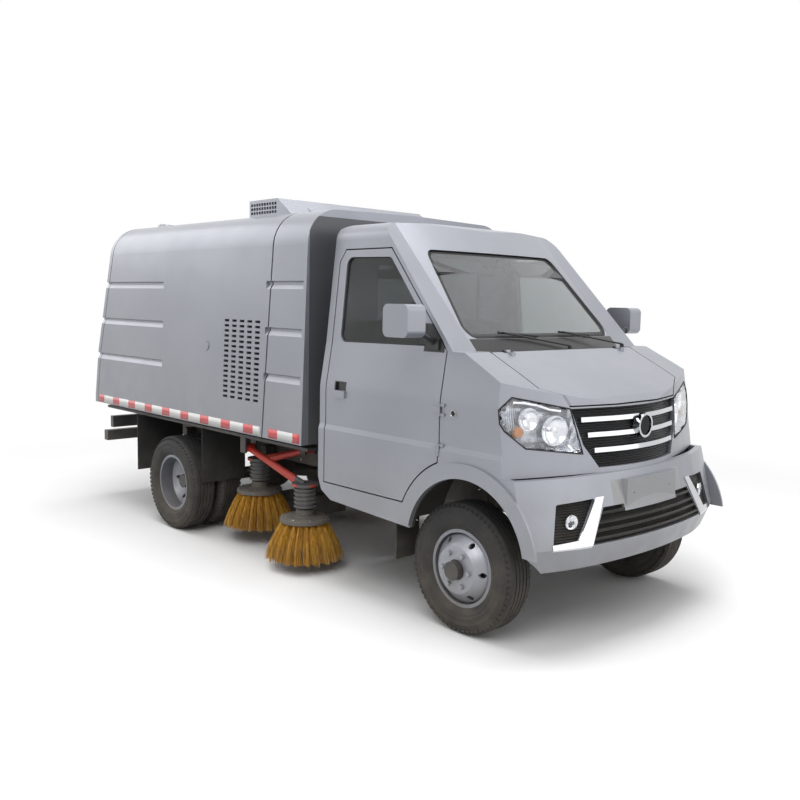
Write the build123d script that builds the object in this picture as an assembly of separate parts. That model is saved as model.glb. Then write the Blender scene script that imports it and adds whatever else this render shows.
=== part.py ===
# Compact street sweeper truck, modelled in millimetres.
# +X is forward, +Y is the vehicle's left, +Z is up. The origin lies on the ground under the
# middle of the truck's length and width. Each named solid is written to its own STEP file.
from build123d import *
from math import atan2, cos, degrees, hypot, radians, sin
import os

os.makedirs("parts", exist_ok=True)

# ---------------------------------------------------------------- driving dimensions
FRONT_OVERHANG = 590.0      # front axle to the bumper lip
REAR_END_X = -2215.0        # back of the under-run bar
FRONT_AXLE_X = 1625.0
WHEELBASE = 2600.0
REAR_AXLE_X = FRONT_AXLE_X - WHEELBASE

TYRE_R = 317.0              # 175 R 14 tyre
TYRE_WIDTH = 175.0
RIM_SEAT_R = 180.0
RIM_FLANGE_R = 195.0
RIM_HALF_WIDTH = 64.0
DISC_OFFSET = 100.0         # mid-plane of the rim to the face the disc bolts on
FRONT_WHEEL_Y = 688.0
REAR_HUB_FACE_Y = 670.0     # where the two rear discs meet
KINGPIN_Y = 540.0
VENT_HOLES = 6
VENT_HOLE_R = 13.0
STUD_COUNT = 6
STUD_RING_R = 84.0
STUD_R = 12.0
SPINDLE_R = 22.0
RUN_CLEARANCE = 0.05        # radial clearance of a pin that turns in its hole
STEER_HUB_GAP = 12.0

RAIL_IN_Y = 310.0
RAIL_OUT_Y = 370.0
RAIL_Z0 = 520.0
RAIL_Z1 = 640.0
RAIL_REAR_X = -2120.0
RAIL_FRONT_X = 2040.0

CAB_REAR_X = 605.0
CAB_HALF_WIDTH = 820.0
CAB_BELT_Y = 770.0
CAB_BELT_Z = 1350.0
CAB_SHOULDER_Z = 1110.0
CREASE_Z = 905.0            # feature line along the doors
CREASE_DEPTH = 9.0
CAB_DRIP_Y = 698.0
CAB_ROOF_Z = 1995.0
ROOF_BROW_R = 150.0           # round of the roof over the windscreen
CAB_WALL = 34.0
GLASS_INSET = 12.0
GLASS_THICK = 6.0
GRILLE_INSET = GLASS_INSET + GLASS_THICK
CAB_FLOOR_Z = 662.0
DASH_HALF_WIDTH = 715.0
CAB_SILL_Z = 485.0
HOOD_REAR_Z = 1342.0
NOSE_TOP_Z = 1105.0
BUMPER_BOTTOM_Z = 388.0
BAR_HEIGHTS = (1046.0, 975.0, 903.0)
BUMPER_LIP_Z = 500.0
BUMPER_TOP_Z = 800.0
BUMPER_SPLIT = 250.0           # front axle to the bumper's rear edge
PLATE_Z = 699.0
PLATE_HALF = 215.0
PLATE_HOLE_Y = 155.0
PLATE_HOLE_R = 3.5

ARCH_X = FRONT_AXLE_X + 70.0
ARCH_Z = 400.0
ARCH_R = 366.0
FLARE_WIDTH = 72.0
WELL_X = FRONT_AXLE_X + 30.0
WELL_Z = 385.0
WELL_R = 455.0
WELL_WALL = 14.0
WELL_IN_Y = 415.0

PANEL_GAP = 7.0             # gap between a moving panel and its neighbour
DOOR_FRONT_X = FRONT_AXLE_X - 112.0
DOOR_REAR_X = CAB_REAR_X + 55.0
DOOR_BOTTOM_Z = 590.0
DOOR_TOP_Z = 1838.0
SCREEN_LOW_Z = 1398.0
SCREEN_TOP_Z = 1843.0
DOOR_BACK_MARGIN = 14.0
HINGE_PIN_R = 5.0
HINGE_EYE_R = 9.0
DOOR_HINGE_Y = CAB_HALF_WIDTH - 2.0
DOOR_HINGE_Z = (880.0, 1070.0)

BODY_FRONT_X = 488.0
BODY_SEAM_BOTTOM_X = 105.0
BODY_SEAM_TOP_X = 175.0
BODY_REAR_X = -2141.0
BODY_HALF_WIDTH = 850.0
BODY_BOTTOM_Z = 764.0
BODY_ROOF_Z = 2085.0
BODY_CORNER_R = 205.0
BODY_WAIST_Z = 1110.0
GROOVE_HEIGHTS = (1655.0, 1390.0, 1125.0)
GROOVE_DEPTH = 15.0
GROOVE_RISE = 20.0
GROOVE_DROP = 26.0
GROOVE_REAR_END_X = -1105.0
VENT_COLUMNS = 5
VENT_ROWS = 16
VENT_PITCH_X = 83.0
VENT_PITCH_Z = 31.0
VENT_SLOT_X = 50.0
VENT_SLOT_Z = 15.0
VENT_FRONT_X = 55.0
VENT_BOTTOM_Z = 972.0
BODY_WALL = 28.0
SEAM_GAP = 12.0
REAR_DOOR_THICK = 40.0

TIP_X = -2060.0
TIP_Z = 700.0
TIP_PIN_R = 16.0

BRUSH_R = 245.0
BRUSH_HEIGHT = 245.0
BRUSH_DISC_R = 143.0
BRUSH_TUFTS = 22


# ---------------------------------------------------------------- small helpers
def block(x0, x1, y0, y1, z0, z1):
    """A box between two corners."""
    return Pos((x0 + x1) / 2, (y0 + y1) / 2, (z0 + z1) / 2) * Box(x1 - x0, y1 - y0, z1 - z0)


def rod(start, end, radius):
    """A round bar between two points."""
    a, b = Vector(*start), Vector(*end)
    way = b - a
    return Plane(a, z_dir=way) * Cylinder(radius, way.length, align=(Align.CENTER, Align.CENTER, Align.MIN))


def side_prism(points, y0, y1, radius=0.0):
    """A side-view outline (x, z) swept from y0 to y1."""
    face = make_face(Polyline(*[(x, z) for x, z in points], close=True))
    if radius:
        face = fillet(face.vertices(), radius)
    return extrude(Plane.XZ * face, amount=-(y1 - y0)).moved(Pos(0, y0, 0))


def plan_prism(points, z0, z1, radius=0.0):
    """A plan outline (x, y) raised from z0 to z1."""
    face = make_face(Polyline(*points, close=True))
    if radius:
        face = fillet(face.vertices(), radius)
    return extrude(face, amount=z1 - z0).moved(Pos(0, 0, z0))


def front_prism(points, x0, x1, radius=0.0):
    """A front-view outline (y, z) swept from x0 to x1."""
    face = make_face(Polyline(*points, close=True))
    if radius:
        face = fillet(face.vertices(), radius)
    return extrude(Plane.YZ * face, amount=x1 - x0).moved(Pos(x0, 0, 0))


def mirrored(shape):
    """The same shape on the other side of the truck."""
    return mirror(shape, about=Plane.XZ)


def both(shape):
    """A shape together with its twin on the other side."""
    return shape + mirrored(shape)


def save(shape, name):
    """Write one named part."""
    shape.label = name
    export_step(shape, "parts/" + name + ".step")


# ---------------------------------------------------------------- cab volume
def slanted(face_points, z, rise, x_run):
    """A plan outline at height z, raised along a slanted direction."""
    face = Pos(0, 0, z) * make_face(face_points)
    length = hypot(rise, x_run)
    return extrude(face, amount=length, dir=(x_run / length, 0, rise / length))


def nose_outline(x_mid, arc_y, arc_drop, side_y, side_drop, rear_x):
    """A plan outline: shallow arc across the middle, curved back to each side."""
    mid_y = (arc_y + side_y) / 2
    mid_drop = arc_drop + 0.42 * (side_drop - arc_drop)
    front = ThreePointArc((x_mid - arc_drop, -arc_y), (x_mid, 0), (x_mid - arc_drop, arc_y))
    left = ThreePointArc(
        (x_mid - arc_drop, arc_y), (x_mid - mid_drop, mid_y), (x_mid - side_drop, side_y))
    right = ThreePointArc(
        (x_mid - side_drop, -side_y), (x_mid - mid_drop, -mid_y), (x_mid - arc_drop, -arc_y))
    back = Polyline(
        (x_mid - side_drop, side_y), (rear_x, side_y), (rear_x, -side_y), (x_mid - side_drop, -side_y))
    return Curve() + [front, left, right, back]


CAB_FORMS = {}


def cab_volume(inset):
    """The cab's outer form at an inset, made once for each inset."""
    if inset not in CAB_FORMS:
        CAB_FORMS[inset] = cab_form(inset)
    return CAB_FORMS[inset]


def cab_form(inset):
    """The cab's outer form from bumper to roof, shrunk by an inset."""
    half = [
        (CAB_HALF_WIDTH - inset, 300.0), (CAB_HALF_WIDTH - inset, CREASE_Z - 26.0),
        (CAB_HALF_WIDTH - CREASE_DEPTH - inset, CREASE_Z),
        (CAB_HALF_WIDTH - CREASE_DEPTH - inset, CAB_SHOULDER_Z),
        (CAB_BELT_Y - inset, CAB_BELT_Z), (CAB_DRIP_Y - inset, CAB_ROOF_Z - 20.0 - inset),
        (320.0, CAB_ROOF_Z - 3.0 - inset), (0.0, CAB_ROOF_Z - inset)]
    outline = half + [(-y, z) for y, z in reversed(half[:-1])]
    face = make_face(Polyline(*outline, close=True))
    corners = [v for v in face.vertices() if abs(v.Y - half[5][1]) < 1.0]
    face = fillet(corners, 95.0 - inset)
    soft = [v for v in face.vertices() if abs(v.Y - CAB_BELT_Z) < 1.0 or abs(v.Y - CAB_SHOULDER_Z) < 1.0]
    face = fillet(soft, 260.0)
    cross = extrude(Plane.YZ * face, amount=2000.0).moved(Pos(CAB_REAR_X + inset, 0, 0))

    fx = FRONT_AXLE_X
    glass_z = 1396.0
    run, rise = -435.0, 473.0
    scale = (2100.0 - 1200.0) / rise
    low_x = fx - 80.0 - inset * 1.35 - run * (glass_z - 1200.0) / rise
    arc = ThreePointArc((low_x - 49.0, -607.0), (low_x, 0), (low_x - 49.0, 607.0))
    sides = Polyline(
        (low_x - 49.0, 607.0), (low_x - 36.0, 860.0), (CAB_REAR_X + inset, 860.0),
        (CAB_REAR_X + inset, -860.0), (low_x - 36.0, -860.0), (low_x - 49.0, -607.0))
    screen = slanted(Curve() + [arc, sides], 1200.0, rise * scale, run * scale)
    brow_r, brow_x, brow_z = ROOF_BROW_R - inset, fx - 689.0, CAB_ROOF_Z - ROOF_BROW_R
    brow = [(brow_x + brow_r * sin(radians(a)), brow_z + brow_r * cos(radians(a))) for a in (0.0, 26.0, 52.0)]
    roof_line = Polyline(
        (brow[2][0], brow[2][1]), (fx - 400.0, 1850.0 - inset), (fx + 200.0, 1200.0),
        (CAB_REAR_X + inset, 1200.0), (CAB_REAR_X + inset, CAB_ROOF_Z - 40.0 - inset),
        (CAB_REAR_X + 90.0, CAB_ROOF_Z - inset), brow[0])
    roof_face = make_face(Curve() + [ThreePointArc(*brow), roof_line])
    roof = extrude(Plane.XZ * roof_face, amount=-1800.0).moved(Pos(0, -900.0, 0))
    upper = screen & roof

    nose_run, nose_rise = -43.0, 286.0
    nose_scale = (1400.0 - BUMPER_TOP_Z) / nose_rise
    nose = slanted(
        nose_outline(fx + 503.0 - inset, 300.0, 42.0, 860.0, 228.0, CAB_REAR_X + inset),
        BUMPER_TOP_Z, nose_rise * nose_scale, nose_run * nose_scale)
    hood = side_prism(
        [(CAB_REAR_X + inset, 700.0), (CAB_REAR_X + inset, HOOD_REAR_Z - inset),
         (fx + 4.0, HOOD_REAR_Z - inset), (fx + 190.0, 1250.0 - inset),
         (fx + 400.0, 1140.0 - inset), (fx + 462.0, 1098.0 - inset), (fx + 700.0, 900.0),
         (fx + 700.0, 700.0)],
        -900.0, 900.0)
    middle = nose & hood

    lip_run, lip_rise = -80.0, BUMPER_TOP_Z - BUMPER_LIP_Z
    lip_x = fx + FRONT_OVERHANG - inset
    plan = nose_outline(lip_x, 500.0, 46.0, 860.0, 172.0, CAB_REAR_X + inset)
    low = slanted(plan, BUMPER_LIP_Z, lip_rise, lip_run)
    chin_drop = BUMPER_LIP_Z - BUMPER_BOTTOM_Z
    chin = slanted(plan, BUMPER_LIP_Z, -chin_drop, -45.0)
    body = (upper + middle + low + chin) & cross
    return body


def sill_cut():
    """What is cleared away below the doors and behind the cab's lower rear corner."""
    return side_prism(
        [(CAB_REAR_X - 60.0, 200.0), (CAB_REAR_X - 60.0, 610.0), (CAB_REAR_X, 610.0),
         (CAB_REAR_X + 28.0, 540.0), (CAB_REAR_X + 110.0, CAB_SILL_Z + 10.0),
         (FRONT_AXLE_X - 300.0, CAB_SILL_Z - 18.0), (FRONT_AXLE_X + 70.0, CAB_SILL_Z - 18.0),
         (FRONT_AXLE_X + 70.0, 200.0)], -900.0, 900.0)


def arch_cut(radius, y0, y1):
    """A round opening about the front wheel arch, between two widths."""
    return Pos(ARCH_X, (y0 + y1) / 2, ARCH_Z) * Rot(90, 0, 0) * Cylinder(radius, y1 - y0)


def door_outline(grow):
    """Side view of a door's edge; grow widens it all round."""
    pillar = 0.918          # the windscreen pillar's run for each unit of rise
    top_front = FRONT_AXLE_X - 569.0
    belt_front = top_front + pillar * (DOOR_TOP_Z - 1396.0) + 6.0
    return [
        (DOOR_REAR_X - grow, DOOR_BOTTOM_Z - grow), (DOOR_REAR_X - grow, DOOR_TOP_Z - 60.0),
        (DOOR_REAR_X + 40.0 - 0.4 * grow, DOOR_TOP_Z + grow), (top_front + 0.5 * grow, DOOR_TOP_Z + grow),
        (belt_front + 1.3 * grow, 1396.0), (DOOR_FRONT_X + grow, 1340.0),
        (DOOR_FRONT_X + grow, DOOR_BOTTOM_Z - grow)]


def side_band(depth):
    """The left side wall's band of space, down to a depth below the outer skin."""
    return front_prism(
        [(CAB_HALF_WIDTH - depth, 300.0), (CAB_HALF_WIDTH - depth, CAB_SHOULDER_Z),
         (CAB_BELT_Y - depth, CAB_BELT_Z), (CAB_DRIP_Y - depth, CAB_ROOF_Z - 20.0),
         (900.0, CAB_ROOF_Z - 20.0), (900.0, 300.0)], CAB_REAR_X - 10.0, FRONT_AXLE_X + 200.0)


def door_prism(grow):
    """The left door's block of space, stopped short of the wheel arch."""
    space = side_prism(door_outline(grow), 560.0, 900.0) & side_band(CAB_WALL + DOOR_BACK_MARGIN + grow)
    return space - arch_cut(ARCH_R + FLARE_WIDTH + 20.0 - grow, 500.0, 920.0)


def window_prism():
    """The left side window's block of space."""
    return side_prism(
        [(CAB_REAR_X + 118.0, 1352.0), (CAB_REAR_X + 110.0, 1802.0), (FRONT_AXLE_X - 566.0, 1796.0),
         (FRONT_AXLE_X - 168.0, 1362.0)], 560.0, 900.0, 45.0)


def screen_prism():
    """The windscreen's block of space."""
    return front_prism(
        [(-612.0, SCREEN_LOW_Z), (612.0, SCREEN_LOW_Z), (520.0, SCREEN_TOP_Z), (-520.0, SCREEN_TOP_Z)],
        FRONT_AXLE_X - 620.0, FRONT_AXLE_X - 20.0, 58.0)


def hood_prism(grow):
    """The bonnet's block of space."""
    return plan_prism(
        [(FRONT_AXLE_X + 8.0 - grow, -590.0 - grow), (FRONT_AXLE_X + 8.0 - grow, 590.0 + grow),
         (FRONT_AXLE_X + 300.0, 590.0 + grow), (FRONT_AXLE_X + 380.0, 440.0 + grow),
         (FRONT_AXLE_X + 600.0, 440.0 + grow), (FRONT_AXLE_X + 600.0, -440.0 - grow),
         (FRONT_AXLE_X + 380.0, -440.0 - grow), (FRONT_AXLE_X + 300.0, -590.0 - grow)],
        1112.0 - grow, 1420.0)


def lamp_prism():
    """The left headlamp's block of space."""
    return front_prism(
        [(405.0, 890.0), (700.0, 930.0), (792.0, 1010.0), (835.0, 1085.0), (745.0, 1158.0), (455.0, 1098.0)],
        FRONT_AXLE_X + 150.0, FRONT_AXLE_X + 600.0)


def grille_prism():
    """The upper grille's block of space."""
    return front_prism(
        [(-452.0, 1098.0), (-400.0, 930.0), (-318.0, 822.0), (318.0, 822.0), (400.0, 930.0), (452.0, 1098.0)],
        FRONT_AXLE_X + 200.0, FRONT_AXLE_X + 700.0)


def bumper_prism():
    """Everything below the lamps and grille and ahead of the wheel arch."""
    front = front_prism(
        [(-860.0, 300.0), (860.0, 300.0), (860.0, 930.0), (700.0, 924.0), (410.0, 884.0), (322.0, 814.0),
         (-322.0, 814.0), (-410.0, 884.0), (-700.0, 924.0), (-860.0, 930.0)],
        FRONT_AXLE_X + 100.0, FRONT_AXLE_X + 700.0)
    behind = side_prism(
        [(FRONT_AXLE_X, 960.0), (FRONT_AXLE_X + BUMPER_SPLIT + 95.0, 960.0),
         (FRONT_AXLE_X + BUMPER_SPLIT, BUMPER_TOP_Z), (FRONT_AXLE_X + BUMPER_SPLIT, 200.0),
         (FRONT_AXLE_X, 200.0)], -900.0, 900.0)
    return front - behind


def fog_prism():
    """The left fog-lamp recess."""
    return front_prism(
        [(552.0, 516.0), (690.0, 509.0), (640.0, 690.0), (408.0, 700.0)],
        FRONT_AXLE_X + 300.0, FRONT_AXLE_X + 700.0, 12.0)


def intake_prism():
    """The lower air intake."""
    return front_prism(
        [(-478.0, 500.0), (478.0, 500.0), (375.0, 655.0), (228.0, 655.0), (228.0, 622.0), (-228.0, 622.0),
         (-228.0, 655.0), (-375.0, 655.0)],
        FRONT_AXLE_X + 300.0, FRONT_AXLE_X + 700.0)


# ---------------------------------------------------------------- cab panels
outer = cab_volume(0.0)
inner = cab_volume(CAB_WALL)
under = block(CAB_REAR_X + CAB_WALL, FRONT_AXLE_X + BUMPER_SPLIT, -CAB_HALF_WIDTH + CAB_WALL,
              CAB_HALF_WIDTH - CAB_WALL, 200.0, 800.0)
skin = outer - inner - under - sill_cut()
well = Pos(WELL_X, (WELL_IN_Y + CAB_HALF_WIDTH) / 2, WELL_Z) * Rot(90, 0, 0) * Cylinder(
    WELL_R, CAB_HALF_WIDTH - WELL_IN_Y)

fx_front = FRONT_AXLE_X + FRONT_OVERHANG + 20.0
bumper_space = bumper_prism()
lamp_space = both(lamp_prism())
bumper = skin & bumper_space
bumper = bumper - both(arch_cut(ARCH_R, 600.0, 900.0)) - both(fog_prism()) - intake_prism()
pad = block(FRONT_AXLE_X + 490.0, FRONT_AXLE_X + 545.0, -PLATE_HALF, PLATE_HALF,
            PLATE_Z - 68.0, PLATE_Z + 68.0)
for y in (-PLATE_HOLE_Y, PLATE_HOLE_Y):
    screw_hole = rod((FRONT_AXLE_X + 480.0, y, PLATE_Z), (FRONT_AXLE_X + 560.0, y, PLATE_Z), PLATE_HOLE_R)
    pad = pad - screw_hole
    bumper = bumper - screw_hole
bumper = bumper + pad

shell = skin - bumper_space - lamp_space - grille_prism() - hood_prism(PANEL_GAP)
shell = shell - both(door_prism(PANEL_GAP)) - screen_prism()
shell = shell - both(arch_cut(ARCH_R, 700.0, 900.0))

# wheel well: a curved liner with an inner wall
liner_y1 = CAB_HALF_WIDTH - CAB_WALL
liner = Pos(WELL_X, (WELL_IN_Y + liner_y1) / 2, WELL_Z) * Rot(90, 0, 0) * (
    Cylinder(WELL_R + WELL_WALL, liner_y1 - WELL_IN_Y))
liner = liner - Pos(WELL_X, (WELL_IN_Y + WELL_WALL + 900.0) / 2, WELL_Z) * Rot(90, 0, 0) * Cylinder(
    WELL_R, 900.0 - WELL_IN_Y - WELL_WALL)
liner = liner & block(WELL_X - 600.0, FRONT_AXLE_X + 425.0, 300.0, 900.0, 470.0, 1000.0) & inner
liner = liner - block(RAIL_FRONT_X - 900.0, FRONT_AXLE_X + 700.0, 300.0, WELL_IN_Y + 40.0,
                      300.0, RAIL_Z1 + 30.0)
liner = liner - block(WELL_X - 600.0, DOOR_FRONT_X + PANEL_GAP, liner_y1 - PANEL_GAP, 900.0,
                      DOOR_BOTTOM_Z - PANEL_GAP, 1000.0)
shell = shell + both(liner)
rail_room = block(CAB_REAR_X - 10.0, CAB_REAR_X + CAB_WALL + 5.0, RAIL_IN_Y - 6.0, RAIL_OUT_Y + 6.0,
                  RAIL_Z0 - 80.0, RAIL_Z1 + 6.0)
shell = shell - both(rail_room)

hood = (skin & hood_prism(0.0)) - lamp_space
grille_panel = skin & grille_prism()
grille_inner = cab_volume(GRILLE_INSET)
grille = (grille_panel & grille_inner) - hood_prism(PANEL_GAP)
recess_skin = (outer - inner) & bumper_space
intake = recess_skin & intake_prism() & grille_inner
fog_panels = recess_skin & both(fog_prism()) & grille_inner
face_band = outer - grille_inner
for z in (523.0, 557.0, 591.0, 630.0):
    slat = block(fx_front - 400.0, fx_front, -480.0, 480.0, z - 6.0, z + 6.0)
    intake = intake + (face_band & intake_prism() & slat)
lamps = (outer - cab_volume(70.0)) & lamp_space
lamps = lamps - hood_prism(PANEL_GAP) - bumper_space - grille_prism()

screen_glass = (cab_volume(GLASS_INSET) - cab_volume(GRILLE_INSET)) & screen_prism()
rear_pane = front_prism(
    [(-430.0, 1430.0), (430.0, 1430.0), (430.0, 1780.0), (-430.0, 1780.0)],
    CAB_REAR_X - 40.0, CAB_REAR_X + 60.0, 50.0)
rear_glass = (cab_volume(GLASS_INSET) - cab_volume(GRILLE_INSET)) & rear_pane
shell = shell - rear_pane

door_block = door_prism(0.0)
door_left = ((skin & door_block) - window_prism())
glass_left = (cab_volume(GLASS_INSET) - cab_volume(GRILLE_INSET)) & window_prism()

# door hinges: an eye on the door between two knuckles on the pillar
hinge_x = DOOR_FRONT_X + PANEL_GAP / 2
for z in DOOR_HINGE_Z:
    base = (hinge_x, DOOR_HINGE_Y)
    eye = rod((*base, z - 15.0), (*base, z + 15.0), HINGE_EYE_R)
    leaf = block(hinge_x - 40.0, hinge_x, DOOR_HINGE_Y - 16.0, DOOR_HINGE_Y + 1.0, z - 15.0, z + 15.0)
    room = rod((*base, z - 33.0), (*base, z + 33.0), HINGE_EYE_R + 3.0)
    hole = rod((*base, z - 40.0), (*base, z + 40.0), HINGE_PIN_R + RUN_CLEARANCE)
    door_left = (door_left - room) + ((eye + leaf) - hole)
    door_left = door_left - rod((*base, z - 33.0), (*base, z - 15.0), HINGE_EYE_R + 2.0)
    door_left = door_left - rod((*base, z + 15.0), (*base, z + 33.0), HINGE_EYE_R + 2.0)
    knuckles = rod((*base, z - 30.0), (*base, z - 16.0), HINGE_EYE_R)
    knuckles = knuckles + rod((*base, z + 16.0), (*base, z + 30.0), HINGE_EYE_R)
    plate = block(hinge_x, hinge_x + 34.0, DOOR_HINGE_Y - 12.0, DOOR_HINGE_Y + 1.0, z - 30.0, z - 16.0)
    plate = plate + plate.moved(Pos(0, 0, 46.0))
    pin = rod((*base, z - 30.0), (*base, z + 30.0), HINGE_PIN_R)
    shell = shell - both(room)
    shell = shell + both(knuckles + plate + pin)

# door mirror on a foot at the window's lower front corner
mirror_head = block(FRONT_AXLE_X - 335.0, FRONT_AXLE_X - 165.0, 862.0, 978.0, 1405.0, 1560.0)
mirror_head = fillet(mirror_head.edges().filter_by(Axis.Y), 32.0)
mirror_arm = rod((FRONT_AXLE_X - 200.0, 752.0, 1375.0), (FRONT_AXLE_X - 200.0, 872.0, 1432.0), 17.0)
mirror_foot = block(FRONT_AXLE_X - 245.0, FRONT_AXLE_X - 160.0, 735.0, 778.0, 1345.0, 1398.0)
mirror_parts = (mirror_head + mirror_arm + mirror_foot) - window_prism()
handle_y = CAB_HALF_WIDTH - CREASE_DEPTH
pull = block(FRONT_AXLE_X - 888.0, FRONT_AXLE_X - 808.0, handle_y - 14.0, CAB_HALF_WIDTH + 10.0,
             1082.0, 1140.0)
handle = block(FRONT_AXLE_X - 892.0, FRONT_AXLE_X - 804.0, handle_y - 16.0, handle_y + 11.0, 1058.0, 1096.0)
door_left = (door_left - pull) + (mirror_parts - cab_volume(CAB_WALL)) + handle

# bonnet hinges: barrels in the seam under the cowl's edge
hood_axis_x = FRONT_AXLE_X + 8.0 - PANEL_GAP / 2
hood_axis_z = HOOD_REAR_Z - 2.0
for y in (-470.0, 470.0):
    eye = rod((hood_axis_x, y - 15.0, hood_axis_z), (hood_axis_x, y + 15.0, hood_axis_z), HINGE_EYE_R)
    eye = eye + block(hood_axis_x, hood_axis_x + 40.0, y - 15.0, y + 15.0,
                      hood_axis_z - 26.0, hood_axis_z - 2.0)
    room = rod((hood_axis_x, y - 33.0, hood_axis_z), (hood_axis_x, y + 33.0, hood_axis_z), HINGE_EYE_R + 4.0)
    side_room = rod(
        (hood_axis_x, y - 33.0, hood_axis_z), (hood_axis_x, y - 15.0, hood_axis_z), HINGE_EYE_R + 4.0)
    side_room = side_room + rod(
        (hood_axis_x, y + 15.0, hood_axis_z), (hood_axis_x, y + 33.0, hood_axis_z), HINGE_EYE_R + 4.0)
    hole = rod((hood_axis_x, y - 40.0, hood_axis_z), (hood_axis_x, y + 40.0, hood_axis_z),
               HINGE_PIN_R + RUN_CLEARANCE)
    hood = (hood - side_room) + eye - hole
    knuckles = rod((hood_axis_x, y - 30.0, hood_axis_z), (hood_axis_x, y - 16.0, hood_axis_z), HINGE_EYE_R)
    knuckles = knuckles + rod(
        (hood_axis_x, y + 16.0, hood_axis_z), (hood_axis_x, y + 30.0, hood_axis_z), HINGE_EYE_R)
    for y0 in (y - 30.0, y + 16.0):
        knuckles = knuckles + block(hood_axis_x - 30.0, hood_axis_x, y0, y0 + 14.0, hood_axis_z - 24.0,
                                    hood_axis_z - 2.0)
    pin = rod((hood_axis_x, y - 30.0, hood_axis_z), (hood_axis_x, y + 30.0, hood_axis_z), HINGE_PIN_R)
    shell = (shell - room) + knuckles + pin

# ---------------------------------------------------------------- cab inside
floor_in_y = CAB_HALF_WIDTH - CAB_WALL
floor = block(CAB_REAR_X + CAB_WALL, FRONT_AXLE_X + 40.0, -floor_in_y, floor_in_y,
              CAB_FLOOR_Z, CAB_FLOOR_Z + 22.0)
floor = floor - both(well)
wells = both(Pos(WELL_X, (WELL_IN_Y + 900.0) / 2, WELL_Z) * Rot(90, 0, 0) * Cylinder(
    WELL_R + WELL_WALL, 900.0 - WELL_IN_Y))
floor = floor - wells
tunnel = block(720.0, 1330.0, -300.0, 300.0, CAB_FLOOR_Z, 810.0)
tunnel_hollow = block(735.0, 1315.0, -285.0, 285.0, CAB_FLOOR_Z - 5.0, 795.0)
bulkhead = block(FRONT_AXLE_X + 0.0, FRONT_AXLE_X + 16.0, -floor_in_y, floor_in_y, CAB_FLOOR_Z, 1250.0)
bulkhead = (bulkhead & cab_volume(CAB_WALL)) - wells
dash = side_prism(
    [(FRONT_AXLE_X - 250.0, 1120.0), (FRONT_AXLE_X - 270.0, 1290.0), (FRONT_AXLE_X - 170.0, 1355.0),
     (FRONT_AXLE_X + 10.0, 1310.0), (FRONT_AXLE_X + 10.0, 1020.0), (FRONT_AXLE_X - 120.0, 1020.0)],
    -DASH_HALF_WIDTH, DASH_HALF_WIDTH)
dash = dash & cab_volume(CAB_WALL)
interior = (floor + tunnel + bulkhead) - tunnel_hollow

seat_y = 370.0
cushion = block(730.0, 1200.0, seat_y - 225.0, seat_y + 225.0, 810.0, 930.0)
cushion = fillet(cushion.edges().filter_by(Axis.Z), 45.0)
backrest = side_prism(
    [(650.0, 925.0), (645.0, 1300.0), (650.0, 1500.0), (745.0, 1500.0), (800.0, 930.0)],
    seat_y - 215.0, seat_y + 215.0, 20.0)
seats = both(cushion + backrest)
seat_stand = block(780.0, 1150.0, 290.0, 560.0, CAB_FLOOR_Z + 22.0, 810.0)
interior = interior + both(seat_stand)

wheel_centre = (FRONT_AXLE_X - 390.0, seat_y, 1235.0)
column_foot = (FRONT_AXLE_X - 200.0, seat_y, 1105.0)
tilt = degrees(atan2(column_foot[0] - wheel_centre[0], wheel_centre[2] - column_foot[2]))
ring = Pos(*wheel_centre) * Rot(0, -tilt, 0) * Torus(185.0, 15.0)
spokes = Pos(*wheel_centre) * Rot(0, -tilt, 0) * (Cylinder(55.0, 30.0) + Box(24.0, 370.0, 14.0))
steering_wheel = ring + spokes + rod(column_foot, wheel_centre, 22.0)
dashboard = (dash + steering_wheel) - bulkhead

# ---------------------------------------------------------------- chassis
rail = block(RAIL_REAR_X, RAIL_FRONT_X, RAIL_IN_Y, RAIL_OUT_Y, RAIL_Z0, RAIL_Z1)
chassis = both(rail)
for x in (-2090.0, REAR_AXLE_X + 470.0, REAR_AXLE_X - 470.0, 330.0, 560.0, FRONT_AXLE_X, RAIL_FRONT_X - 40.0):
    chassis = chassis + block(x - 30.0, x + 30.0, -RAIL_IN_Y - 5.0, RAIL_IN_Y + 5.0,
                              RAIL_Z0 + 15.0, RAIL_Z1 - 15.0)
cab_mounts = block(1000.0, 1060.0, RAIL_IN_Y, RAIL_OUT_Y, RAIL_Z1, CAB_FLOOR_Z)
chassis = chassis + both(cab_mounts)
tank = block(400.0, 590.0, 390.0, 560.0, 430.0, 610.0)
tank = fillet(tank.edges().filter_by(Axis.X), 40.0)
tank_strap = block(440.0, 480.0, RAIL_OUT_Y - 5.0, 400.0, 470.0, 590.0)

engine = block(900.0, 1300.0, -230.0, 230.0, 430.0, 760.0)
gearbox = block(640.0, 905.0, -120.0, 120.0, 440.0, 640.0)
engine_foot = block(1080.0, 1140.0, -RAIL_IN_Y, RAIL_IN_Y, 540.0, 600.0)
shaft = rod((645.0, 0.0, 500.0), (REAR_AXLE_X + 120.0, 0.0, TYRE_R + 5.0), 34.0)
driveline = engine + gearbox + engine_foot + shaft

# ---------------------------------------------------------------- axles
axle_tube = rod((REAR_AXLE_X, -600.0, TYRE_R), (REAR_AXLE_X, 600.0, TYRE_R), 42.0)
diff = Pos(REAR_AXLE_X, 0, TYRE_R) * Sphere(135.0)
hub_y0 = REAR_HUB_FACE_Y - 60.0
stub = rod((REAR_AXLE_X, hub_y0 - 15.0, TYRE_R), (REAR_AXLE_X, REAR_HUB_FACE_Y + 70.0, TYRE_R), 25.0)
back_plate = rod((REAR_AXLE_X, 462.0, TYRE_R), (REAR_AXLE_X, 474.0, TYRE_R), 120.0)
rear_axle = (axle_tube + diff + both(stub + back_plate)) - shaft
driveline = driveline - Pos(REAR_AXLE_X, 0, TYRE_R) * Sphere(134.0)

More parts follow.
